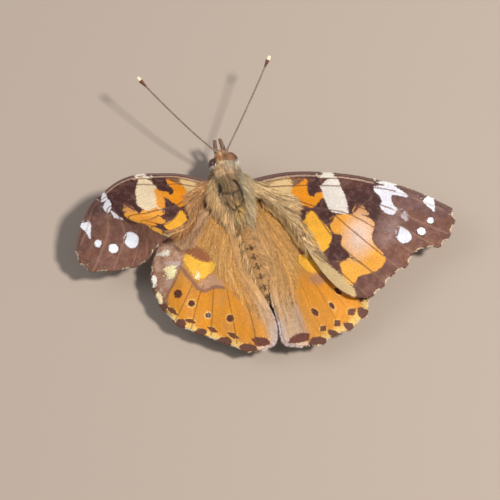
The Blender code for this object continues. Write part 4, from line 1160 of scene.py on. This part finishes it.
def body_colours(points, draws):
    """The coat's colour by place: olive brown fur on the thorax, tan abdomen, rusty head."""
    loose = points + draws.normal(0.0, 0.07, points.shape)
    x, y, z = loose[:, 0] - 0.22, loose[:, 1], loose[:, 2]
    high = z > 5.0
    above = ramp((z - 5.9) / 0.7)
    scutum = above * ramp((1.45 - np.abs(x)) / 0.3) * (y > -2.8) * (y < 2.6)
    scutellum = above * ramp((0.95 - np.abs(x + 0.4)) / 0.25) * (y > 2.2) * (y < 4.6)
    collar = above * ramp((-2.0 - y) / 0.6) * (y > NECK)
    chest = ramp((4.4 - z) / 0.8) * (y < THORAX_END) * (y > NECK)
    on_head = y < NECK
    neck_mark = (distance_to_line(loose[:, :2], NECK_MARK) < 0.20) & (z > 5.4)
    behind = y > THORAX_END + 0.6
    segment, from_joint = segment_at(y)
    middle_x, middle_z = abdomen_middle(segment / SEGMENTS)
    aside = np.abs(x - (middle_x - 0.22))
    upper = behind * (z > middle_z) * (segment > 1.6)
    colours = plain(len(points), 172, 146, 106)
    for share, colour in (
            (0.85 * ramp((-x - 0.9) / 0.5) * high, (190, 176, 146)),
            (0.75 * ramp((x - 1.3) / 0.5) * high * (y < 0.0), (224, 188, 132)),
            (0.9 * hump((x - 2.5) / 0.6, (y - 1.1) / 0.8) * high, (192, 188, 176)),
            (0.8 * hump((x - 2.0) / 0.8, (y - 3.8) / 1.2) * high, (176, 144, 122)),
            (0.85 * scutum, (150, 120, 84)),
            (0.85 * scutellum, (200, 158, 92)),
            (0.8 * ramp((y - 4.6) / 0.6) * (y < THORAX_END + 1.0), (168, 128, 80)),
            (0.85 * collar, (214, 180, 138)),
            (chest, (206, 192, 164)),
            (on_head, (214, 164, 120)),
            (0.9 * neck_mark, (246, 222, 176)),
            (0.6 * on_head * (y < -5.9) * high, (172, 122, 94)),
            (on_head * ramp((4.7 - z) / 0.4), (206, 188, 156)),
            (behind, (186, 140, 88)),
            (0.85 * upper * (from_joint < 0.12) * (aside < 0.62), (88, 64, 44)),
            (0.35 * upper * (from_joint < 0.10) * (aside > 0.62), (140, 104, 66)),
            (0.85 * upper * (aside < 0.17) * (from_joint < 0.50), (82, 60, 42)),
            (behind * (z < middle_z - 0.55), (218, 196, 156))):
        lay(colours, share, *colour)
    return colours


def body_hair(gathered, draws, amount, first, last, length, width, lift, lie=None):
    """Tapered hairs on the body between two values of y, lying in locks."""
    amount = full(amount)
    place, normal, back, spots = BODY.roots(amount, first, last, draws)
    drift = draws.normal(0.0, 0.13, place.shape)
    drift[:, :2] += waver(place[:, :2] * 1.7, 0.17, 61)
    ahead = lie(place, back) if lie else back
    direction = unit(ahead + normal * (lift + draws.normal(0.0, 0.10, amount))[:, None] + drift)
    lengths = draws.uniform(0.6, 1.0, amount) * length
    parted = parted_share(place + direction * lengths[:, None] * 0.65, 0.26)
    lengths *= 1.0 - 0.70 * parted
    tints = body_colours(place, draws) * draws.lognormal(0.0, 0.16, (amount, 1))
    tints *= streaks(place[:, 0], place[:, 1], 67)
    # Painted shade on the hairs in the partings.
    lay(tints, parted, 52, 36, 24)
    ribbons(gathered, place - normal * 0.03, direction, normal, lengths,
            draws.uniform(0.7, 1.2, amount) * width, tints, spots, -normal * 0.30 * lift)


def body_scales(gathered, draws, amount, first, last, length, width):
    """Short flat scales, shingled backwards."""
    amount = full(amount)
    place, normal, back, spots = BODY.roots(amount, first, last, draws)
    ahead = unit(back + draws.normal(0.0, 0.10, place.shape))
    across = unit(np.cross(normal, ahead))
    lengths = (draws.uniform(0.8, 1.1, amount) * length)[:, None]
    half = (draws.uniform(0.8, 1.1, amount) * width * 0.5)[:, None]
    root, waist = place + normal * 0.015, place + ahead * lengths * 0.7 + normal * 0.055
    corners = [root - across * half * 0.5, root + across * half * 0.5, waist + across * half,
               place + ahead * lengths + normal * 0.07, waist - across * half]
    tints = body_colours(place, draws) * draws.lognormal(0.0, 0.14, (amount, 1))
    gathered.add_copies(corners, KITE, tints, KITE_SHADES, spots, KITE_PATCH)


def side_hair(gathered, draws, amount, first, last, low, length, left_tint, right_tint):
    """Long soft hair from the sides of the body, combed out over the roots of the wings."""
    place, normal, back, spots = BODY.roots(full(amount) * 3, first, last, draws)
    chosen = (place[:, 2] > low) & (np.abs(normal[:, 0]) > 0.5)
    place, back, spots = kept(chosen, place, back, spots)
    count = len(place)
    outward = np.sign(place[:, 0] - THORAX_X)[:, None] * OUT
    rearward = np.clip((place[:, 1] + 3.6) / 4.0, 0.35, 1.0)[:, None]
    swirl = np.zeros(place.shape)
    swirl[:, :2] = waver(place[:, :2] * 1.7, 0.14, 71)
    direction = unit(outward * (1.1 - 0.6 * rearward) + back * (0.35 + 0.8 * rearward) + swirl + UP * 0.12
                     + draws.normal(0.0, 0.13, place.shape))
    tints = np.where((place[:, 0] > THORAX_X)[:, None], tone(*left_tint), tone(*right_tint))
    tints = tints * draws.lognormal(0.0, 0.16, (count, 1)) * streaks(place[:, 1], place[:, 0], 73)
    lengths = length * np.clip((place[:, 1] + 3.3) / 2.2, 0.3, 1.0)
    ribbons(gathered, place, direction, UP, draws.uniform(0.5, 1.0, count) * lengths,
            draws.uniform(0.045, 0.08, count), tints, spots, np.array([0.0, 0.05, -0.14]))


def brow_hair(gathered, draws, amount):
    """Rusty hair that leans out and back from the crown over the inner half of each eye."""
    place, normal, back, spots = BODY.roots(full(amount) * 4, -5.9, -4.3, draws)
    from_middle = place[:, 0] - HEAD_X
    chosen = (place[:, 2] > 5.6) & (np.abs(from_middle) > np.where(from_middle > 0.0, 0.80, 0.30))
    place, normal, back, spots = kept(chosen, place, normal, back, spots)
    count = len(place)
    left = place[:, 0] > HEAD_X
    outward = np.sign(place[:, 0] - HEAD_X)[:, None] * OUT
    direction = unit(outward * 0.85 + back * 0.45 + UP * 0.62 + draws.normal(0.0, 0.14, place.shape))
    tints = plain(count, 190, 138, 98) * draws.lognormal(0.0, 0.16, (count, 1))
    lengths = draws.uniform(0.6, 1.0, count) * np.where(left, 0.60, 1.20)
    tints *= np.where(left, 1.0, draws.uniform(0.60, 1.35, count))[:, None]
    ribbons(gathered, place, direction, normal, lengths, draws.uniform(0.05, 0.08, count), tints, spots,
            np.array([0.0, 0.1, -0.30]))


def eye_rim(gathered, draws, centre, side, amount):
    """Short white scales that edge the back of an eye."""
    away = draws.uniform(0.40, 1.15, amount)
    turn = draws.uniform(-0.3, 2.7, amount)
    normal = np.column_stack([side * np.sin(away) * np.cos(turn), np.cos(away), np.sin(away) * np.sin(turn)])
    direction = unit(normal + (side * 0.3, 0.0, 0.3) + draws.normal(0.0, 0.15, (amount, 3)))
    tints = plain(amount, 244, 236, 228) * draws.lognormal(0.0, 0.08, (amount, 1))
    spots = np.column_stack([0.02 + 0.1 * turn, 0.2 + 0.1 * away])
    ribbons(gathered, centre + EYE_RADII * normal * 0.97, direction, normal,
            draws.uniform(0.12, 0.28, amount), 0.09, tints, spots, np.zeros(3))


def ruff(gathered, draws, amount):
    """Long fur from the collar, combed forwards over the neck and the back of the head."""
    place, normal, _, spots = BODY.roots(full(amount) * 3, -4.3, -2.5, draws)
    chosen = (place[:, 2] > 4.6) & ~((place[:, 0] > 0.8) & (place[:, 1] < -3.5))
    place, normal, spots = kept(chosen, place, normal, spots)
    count, x = len(place), place[:, 0]
    ahead = np.column_stack([HEAD_X + 0.80 * (x - HEAD_X), np.full(count, -5.6), np.full(count, 6.0)])
    direction = unit(unit(ahead - place) + normal * 0.42 + draws.normal(0.0, 0.12, place.shape))
    tints = np.where((x > 0.1)[:, None], tone(196, 160, 112), tone(204, 186, 158))
    lay(tints, 1.0 - np.abs(x - 0.2) / 0.8, 184, 150, 116)
    tints = tints * draws.lognormal(0.0, 0.14, (count, 1)) * streaks(x, place[:, 1], 83)
    mark = distance_to_line((place + direction * 0.5)[:, :2], NECK_MARK) < 0.22
    lay(tints, 0.9 * mark, 246, 222, 176)
    reach = 1.0 - 0.55 * ramp((x - 0.5) / 0.4) + 0.35 * ramp((-0.3 - x) / 0.4)
    ribbons(gathered, place, direction, normal, draws.uniform(0.55, 1.05, count) * reach,
            draws.uniform(0.05, 0.08, count), tints, spots, np.array([0.0, 0.0, -0.18]))


def head_lie(place, back):
    """Hair on the head stands forwards over the brow and backwards behind it."""
    forward = np.clip((-5.3 - place[:, 1]) / 0.5, -1.0, 1.0)
    return UP * 0.25 - back * forward[:, None]


def shoulder_lie(place, back):
    """Hair on the thorax runs back and a little outwards, and forwards over the neck."""
    outward = np.sign(place[:, 0] - THORAX_X)[:, None] * OUT * 0.45
    forward = ramp((-2.6 - place[:, 1]) / 1.2)[:, None]
    return back * (1.0 - 1.7 * forward) + outward * (1.0 - forward)


# Tubes: legs, antennae and palps
def frame_along(route):
    """Directions along and across a curve, with no twist."""
    ahead = unit(np.gradient(route, axis=0))
    current = np.cross(ahead[0], UP)
    if np.linalg.norm(current) < 0.2:
        current = np.cross(ahead[0], OUT)
    sideways = []
    for direction in ahead:
        current = unit(current - direction * (current @ direction))
        sideways.append(current)
    sideways = np.array(sideways)
    return ahead, sideways, np.cross(ahead, sideways)


def tube(gathered, route, radii, sides, tint):
    """A closed tube. The bake map runs around it in u and along it in v."""
    _, sideways, upward = frame_along(route)
    count = len(route)
    side = np.arange(sides)
    after = (side + 1) % sides
    first, last = np.full(sides, count * sides), np.full(sides, count * sides + 1)
    rear = (count - 1) * sides
    triangles = np.vstack([wall(count, sides), np.column_stack([first, after, side]),
                           np.column_stack([last, rear + side, rear + after])])
    along = np.repeat(np.linspace(0.0, 1.0, count), sides)
    places = np.vstack([np.column_stack([np.tile(side / sides, count), along]), (0.5, 0.0), (0.5, 1.0)])
    gathered.add(np.vstack([rings_round(route, radii, sideways, upward, sides), route[:1], route[-1:]]),
                 triangles, np.vstack([np.repeat(tint, sides, axis=0), tint[:1], tint[-1:]]), places)


def tube_hair(gathered, draws, route, radii, tint_at, amount, length, width, lift, first, last):
    """Hairs or bristles over a tube, lying towards its end."""
    amount = full(amount)
    ahead, sideways, upward = frame_along(route)
    at = draws.uniform(first, last, amount) * (len(route) - 1)
    low = np.clip(at.astype(int), 0, len(route) - 2)
    share = (at - low)[:, None]
    centre = route[low] * (1 - share) + route[low + 1] * share
    radius = radii[low][:, None] * (1 - share) + radii[low + 1][:, None] * share
    angle = draws.uniform(0.0, math.tau, amount)
    normal = sideways[low] * np.cos(angle)[:, None] + upward[low] * np.sin(angle)[:, None]
    direction = unit(ahead[low] + normal * (lift * draws.uniform(0.6, 1.4, amount))[:, None]
                     + draws.normal(0.0, 0.10, centre.shape))
    lengths = draws.uniform(0.6, 1.0, amount) * length
    tints = tint_at(normal) * draws.lognormal(0.0, 0.18, (amount, 1))
    places = np.column_stack([angle / math.tau, at / (len(route) - 1)])
    ribbons(gathered, centre + normal * radius * 0.92, direction, normal, lengths,
            draws.uniform(0.7, 1.2, amount) * width, tints, places, ahead[low] * 0.15)


def eyeball(hand, centre):
    """A compound eye: a fine ellipsoid, banded, and paler below."""
    rings, sides = 40, 56
    ring, side = np.divmod(np.arange((rings + 1) * sides), sides)
    lean, turn = math.pi * ring / rings, math.tau * side / sides
    points = np.column_stack([np.cos(lean), np.sin(lean) * np.cos(turn), np.sin(lean) * np.sin(turn)])
    pairs = wall(rings + 1, sides).reshape(rings, sides, 2, 3)
    triangles = np.vstack([pairs[0, :, 1], pairs[1:-1].reshape(-1, 3), pairs[-1, :, 0]])
    tint = plain(len(points), 82, 54, 40)
    band = np.sin(points[:, 2] * 9.0 + 1.0) * 0.5 + 0.5
    lay(tint, 0.5 * band, 56, 36, 28)
    lay(tint, 0.5 * (points[:, 2] < -0.55), 120, 96, 70)
    piece_from("eye_" + hand + "_facets", points * EYE_RADII + centre, triangles, tint,
               np.column_stack([side / sides, ring / rings]), eye_finish, "eye", "eye_" + hand)


# Hair on the wings
FOREWING_HAIR = [(-0.6, 1), (1.2, 1.4), (2, 0.3), (5.2, -0.4), (6.2, -1.4), (6.2, -4.6),
                 (5.2, -4.6), (1, -1.4), (-0.8, -1.2)]
FOREWING_REAR_HAIR = [(2, -1.8), (7.6, -3.8), (12.5, -9), (11, -9.8), (7.4, -6.4), (3.6, -3.6)]
FOREWING_EDGE_HAIR = [(0.6, -0.9), (4, -2.7), (7.8, -5.5), (9.6, -7.4), (9.2, -7.9), (7.6, -6.4),
                      (4, -3.5), (0.8, -1.7)]
HINDWING_HAIR = [(-3.6, 3.4), (-1, 4), (3, 4.2), (5.6, 1), (7.8, -0.6), (9.4, -2.6), (12.4, -5.6),
                 (15, -7.9), (9.7, -6.2), (6.1, -4.3), (2.8, -1.7), (-0.6, -0.6), (-3.4, 1)]
HINDWING_EDGE_HAIR = [(-1.4, -0.6), (2.6, -1.9), (6.1, -4.5), (12.2, -7.3), (14.8, -8.2), (14, -9),
                      (12.1, -8.5), (6.8, -6.5), (2.2, -4.4), (-1.6, -2)]
# Hair that stands up from the hindwing to meet the rear edge of the forewing, in colours painted lighter
# against the forewing's shadow
HINDWING_GAP_HAIR = {
    "hindwing_right": ([(-3.4, 2), (0, 2.6), (3, 2.2), (4.6, 2), (5.4, 2.6), (3.6, 3.8), (1.4, 4.3),
                        (-0.8, 4.4), (-3.4, 3.4)], ((230, 182, 120), (204, 156, 98))),
    "hindwing_left": ([(-1, 2.6), (2, 3.2), (4.2, 3.8), (5, 5.2), (4.2, 6.6), (1.5, 5.6), (-1.5, 4.6)],
                      ((226, 182, 136), (190, 146, 108))),
}
WING_BASE_COLOURS = {
    "forewing_right": (((186, 150, 104), 900), ((140, 106, 70), 500), ((216, 186, 138), 500)),
    "forewing_left": (((166, 118, 74), 900), ((124, 80, 48), 650), ((200, 154, 98), 350)),
}
EDGE_SHADE = np.array([0.86, 0.80, 0.70])
HINDWING_HAIR_COLOURS = (((184, 134, 74), 2100), ((138, 96, 54), 950), ((204, 162, 104), 950))
HINDWING_EDGE_COLOURS = (((192, 146, 92), 1700), ((152, 110, 68), 700))
WINGS = (("forewing", "right", WORN_FOREWING, forewing_colours, forewing_underside, 101),
         ("forewing", "left", FOREWING, forewing_colours, forewing_underside, 103),
         ("hindwing", "right", HINDWING, hindwing_colours, hindwing_underside, 105),
         ("hindwing", "left", HINDWING, hindwing_colours, hindwing_underside, 107))

# The whole animal
for kind, hand, shape, over, under, seed in WINGS:
    name = kind + "_" + hand
    over = partial(over, hand=hand)
    wing = Wing(shape, PLACES[name])
    draws = np.random.default_rng(seed)
    membrane(name, wing, over, under, draws)
    scale_cover(name + "_upper_scales", wing, over, True, UPPER_PITCH, draws)
    scale_cover(name + "_under_scales", wing, under, False, UNDER_PITCH, draws)
    trim = Gathered()
    fringe(trim, wing, draws)
    if kind == "forewing":
        for colour, amount in WING_BASE_COLOURS[name]:
            colour = tone(*colour)
            wing_hair(trim, wing, draws, FOREWING_HAIR, amount, colour, length=2.0)
            wing_hair(trim, wing, draws, FOREWING_REAR_HAIR, 0.5 * amount, colour, length=1.6)
            wing_hair(trim, wing, draws, FOREWING_EDGE_HAIR, 1.8 * amount, colour * EDGE_SHADE, length=2.3,
                      lift=0.04, turn=(-0.1, -0.75), droop=0.40, mess=0.24)
    else:
        for colour, amount in HINDWING_HAIR_COLOURS:
            wing_hair(trim, wing, draws, HINDWING_HAIR, amount, tone(*colour), length=2.1, lift=0.12)
        for colour, amount in HINDWING_EDGE_COLOURS:
            wing_hair(trim, wing, draws, HINDWING_EDGE_HAIR, amount, tone(*colour), length=1.7, lift=0.14)
        region, colours = HINDWING_GAP_HAIR[name]
        for colour in colours:
            wing_hair(trim, wing, draws, region, 1300, tone(*colour), length=1.9, lift=0.85,
                      turn=(0.0, -0.40), droop=0.25, mess=0.20)
        inner_fringe(trim, wing, full(1600), draws)
    trim.piece(name + "_fringe", hair_finish, "wing_scales")

BODY = Body()
draws = np.random.default_rng(201)
BODY.skin(draws)

down = Gathered()
body_hair(down, draws, 11000, NECK, THORAX_END + 0.6, length=0.70, width=0.095, lift=0.55, lie=shoulder_lie)
body_hair(down, draws, 11000, NECK, THORAX_END + 1.2, length=1.15, width=0.065, lift=0.70, lie=shoulder_lie)
down.piece("thorax_hair", hair_finish, "body_hair")

mane = Gathered()
side_hair(mane, draws, 5600, -2.2, THORAX_END + 0.2, low=5.8, length=2.7,
          left_tint=(214, 174, 122), right_tint=(184, 160, 122))
side_hair(mane, draws, 4200, THORAX_END - 0.2, 16.5, low=4.7, length=1.5,
          left_tint=(208, 166, 112), right_tint=(196, 152, 102))
mane.piece("side_hair", hair_finish, "body_hair")

fuzz = Gathered()
body_hair(fuzz, draws, 4200, -6.9, NECK, length=0.42, width=0.070, lift=0.70, lie=head_lie)
body_hair(fuzz, draws, 2600, -6.6, NECK, length=0.66, width=0.055, lift=1.00, lie=head_lie)
brow_hair(fuzz, draws, 2600)
ruff(fuzz, draws, 3400)
for side, centre in EYE_CENTRES.values():
    eye_rim(fuzz, draws, centre, side, full(700))
fuzz.piece("head_hair", hair_finish, "body_hair")

plates = Gathered()
body_scales(plates, draws, 15000, THORAX_END - 0.4, 18.3, length=0.34, width=0.16)
body_hair(plates, draws, 5200, THORAX_END, 18.2, length=0.55, width=0.055, lift=0.30)
plates.piece("abdomen_scales", abdomen_finish, "abdomen_scales", smooth=False)

for hand, (side, centre) in EYE_CENTRES.items():
    eyeball(hand, centre)

HANDS = ((1, "left"), (-1, "right"))
PALP = [(0.46, -6.2, 4.58), (0.55, -7.05, 4.78), (0.50, -7.72, 5.30), (0.40, -8.26, 5.80)]
ANTENNAE = {
    "left": [(0.20, -6.1, 6.0), (2.8, -9.7, 7.2), (5.9, -15.0, 8.4), (8.5, -19.9, 9.4)],
    "right": [(-0.70, -5.8, 6.0), (-3.9, -9.2, 7.2), (-8.0, -13.8, 8.6), (-11.1, -17.5, 9.6)],
}
PALP_RADIUS = 0.24
FEELER_SIDES = 14
ANTENNA_JOINTS = 44
ANTENNA_RADIUS = 0.125
CLUB_START, CLUB_LENGTH, CLUB_SWELL = 0.865, 0.09, 0.20
CLUB_BROWN, CLUB_CREAM = 0.885, 0.955       # where each colour of the club starts
LEGS = {
    "foreleg": [(0.80, -2.5, 3.9), (1.10, -3.6, 2.6), (1.00, -4.7, 2.4), (0.85, -5.6, 2.55)],
    "midleg": [(1.7, -0.9, 3.4), (4.1, -0.9, 3.3), (5.8, -1.2, 0.20), (7.2, -1.8, 0.20)],
    "hindleg": [(1.5, 2.4, 3.4), (4.0, 5.6, 3.0), (5.2, 9.6, 0.20), (6.0, 12.2, 0.20)],
}
# Femur, tibia and foot: half thickness and upward bow
LEG_PARTS = ((0.30, 0.16), (0.22, 0.16), (0.17, 0.0))
LEG_END = 0.12
LEG_STEPS = 16
LEG_SIDES = 12


def two_tone(share, first, second):
    share = ramp(share)[:, None]
    return tone(*first) * (1.0 - share) + tone(*second) * share


def palp_tint(normal):
    return two_tone(normal[:, 2] * 1.4 + 0.3, (218, 196, 168), (172, 138, 120))


def leg_tint(normal):
    return two_tone(0.6 - normal[:, 2], (150, 118, 82), (208, 184, 148))


def antenna_tint(along):
    """Grey brown with pale rings, a brown club and a cream tip."""
    along = along[:, None]
    ring = np.abs((along * ANTENNA_JOINTS) % 1.0 - 0.5) > 0.34
    tint = np.where(ring, tone(156, 140, 122), tone(114, 96, 80))
    tint = np.where(along > CLUB_BROWN, tone(104, 60, 38), tint)
    return np.where(along >= CLUB_CREAM, tone(244, 226, 192), tint)


for side, hand in HANDS:
    route = smooth_curve([(HEAD_X + side * x, y, z) for x, y, z in PALP], 0.16)
    radii = PALP_RADIUS * (1.0 - 0.65 * np.linspace(0.0, 1.0, len(route)) ** 2)
    palp = Gathered()
    tube(palp, route, radii, FEELER_SIDES, plain(len(route), 140, 116, 88))
    tube_hair(palp, draws, route, radii, palp_tint, 1500, length=0.45, width=0.055, lift=0.45, first=0.1,
              last=1.0)
    palp.piece("palp_" + hand + "_scales", hair_finish, "leg_scales", "palp_" + hand)

for hand, points in ANTENNAE.items():
    route = smooth_curve(points, 0.09)
    along = np.linspace(0.0, 1.0, len(route))
    radii = ANTENNA_RADIUS + CLUB_SWELL * ramp((along - CLUB_START) / CLUB_LENGTH) ** 1.2
    radii *= 1.0 - 0.10 * (np.abs((along * ANTENNA_JOINTS) % 1.0 - 0.5) > 0.42)
    radii += 0.12 * hump((along - 0.03) / 0.02)
    radii[-5:] *= (0.97, 0.92, 0.82, 0.64, 0.35)
    feeler = Gathered()
    tube(feeler, route, radii, FEELER_SIDES, antenna_tint(along))
    feeler.piece("antenna_" + hand + "_shaft", antenna_finish, "antenna_scales", "antenna_" + hand)

for word, corners in LEGS.items():
    for side, hand in HANDS:
        joints = [np.array((THORAX_X + side * x, y, z)) for x, y, z in corners]
        t = np.arange(LEG_STEPS)[:, None] / LEG_STEPS
        swell = np.sin(math.pi * t)
        route = [start + (end - start) * t + UP * bow * swell
                 for start, end, (_, bow) in zip(joints[:-1], joints[1:], LEG_PARTS)]
        route = np.vstack(route + [joints[-1]])
        radii = np.append([size * (0.86 + 0.22 * swell[:, 0]) for size, _ in LEG_PARTS], LEG_END)
        leg = Gathered()
        tube(leg, route, radii, LEG_SIDES, plain(len(route), 150, 118, 82))
        amount, length = (900, 0.28) if word == "foreleg" else (700, 0.20)
        tube_hair(leg, draws, route, radii, leg_tint, amount, length, width=0.05, lift=0.22, first=0.0,
                  last=0.97)
        leg.piece(word + "_" + hand + "_scales", leg_finish, "leg_scales", word + "_" + hand)


# Floor, light and camera
FLOOR_SIZE = 3.0
FLOOR_HEIGHT = -0.00002
FLOOR_TONE = tone(178, 162, 148)
AIM = (0.0, 0.0, 0.004)
SKY = (0.86, 0.91, 1.0, 1.0)
SKY_STRENGTH = 0.30


def floor():
    bpy.ops.mesh.primitive_plane_add(size=FLOOR_SIZE, location=(0.0, 0.0, FLOOR_HEIGHT))
    ground = bpy.context.object
    ground.name = "floor"
    made, shader = material("floor", 0.9, 0.2)
    shader.inputs["Base Color"].default_value = (*FLOOR_TONE, 1.0)
    ground.data.materials.append(made)


def lamp(name, place, size, power, colour):
    data = bpy.data.lights.new(name, "AREA")
    data.shape = "DISK"
    data.size = size
    data.energy = power
    data.color = colour
    made = bpy.data.objects.new(name, data)
    made.location = place
    direction = Vector(AIM) - Vector(place)
    made.rotation_euler = direction.to_track_quat("-Z", "Y").to_euler()
    bpy.context.scene.collection.objects.link(made)


floor()
lamp("key", (-0.21, 0.12, 0.42), size=0.065, power=2.3, colour=(1.0, 0.97, 0.93))
lamp("fill", (0.30, -0.15, 0.35), size=0.30, power=0.5, colour=(0.93, 0.96, 1.0))
world = bpy.data.worlds.new("soft sky")
bpy.context.scene.world = world
world.use_nodes = True
world.node_tree.nodes["Background"].inputs["Color"].default_value = SKY
world.node_tree.nodes["Background"].inputs["Strength"].default_value = SKY_STRENGTH
bpy.context.scene.view_settings.view_transform = "Standard"
add_camera()

bpy.context.view_layer.update()
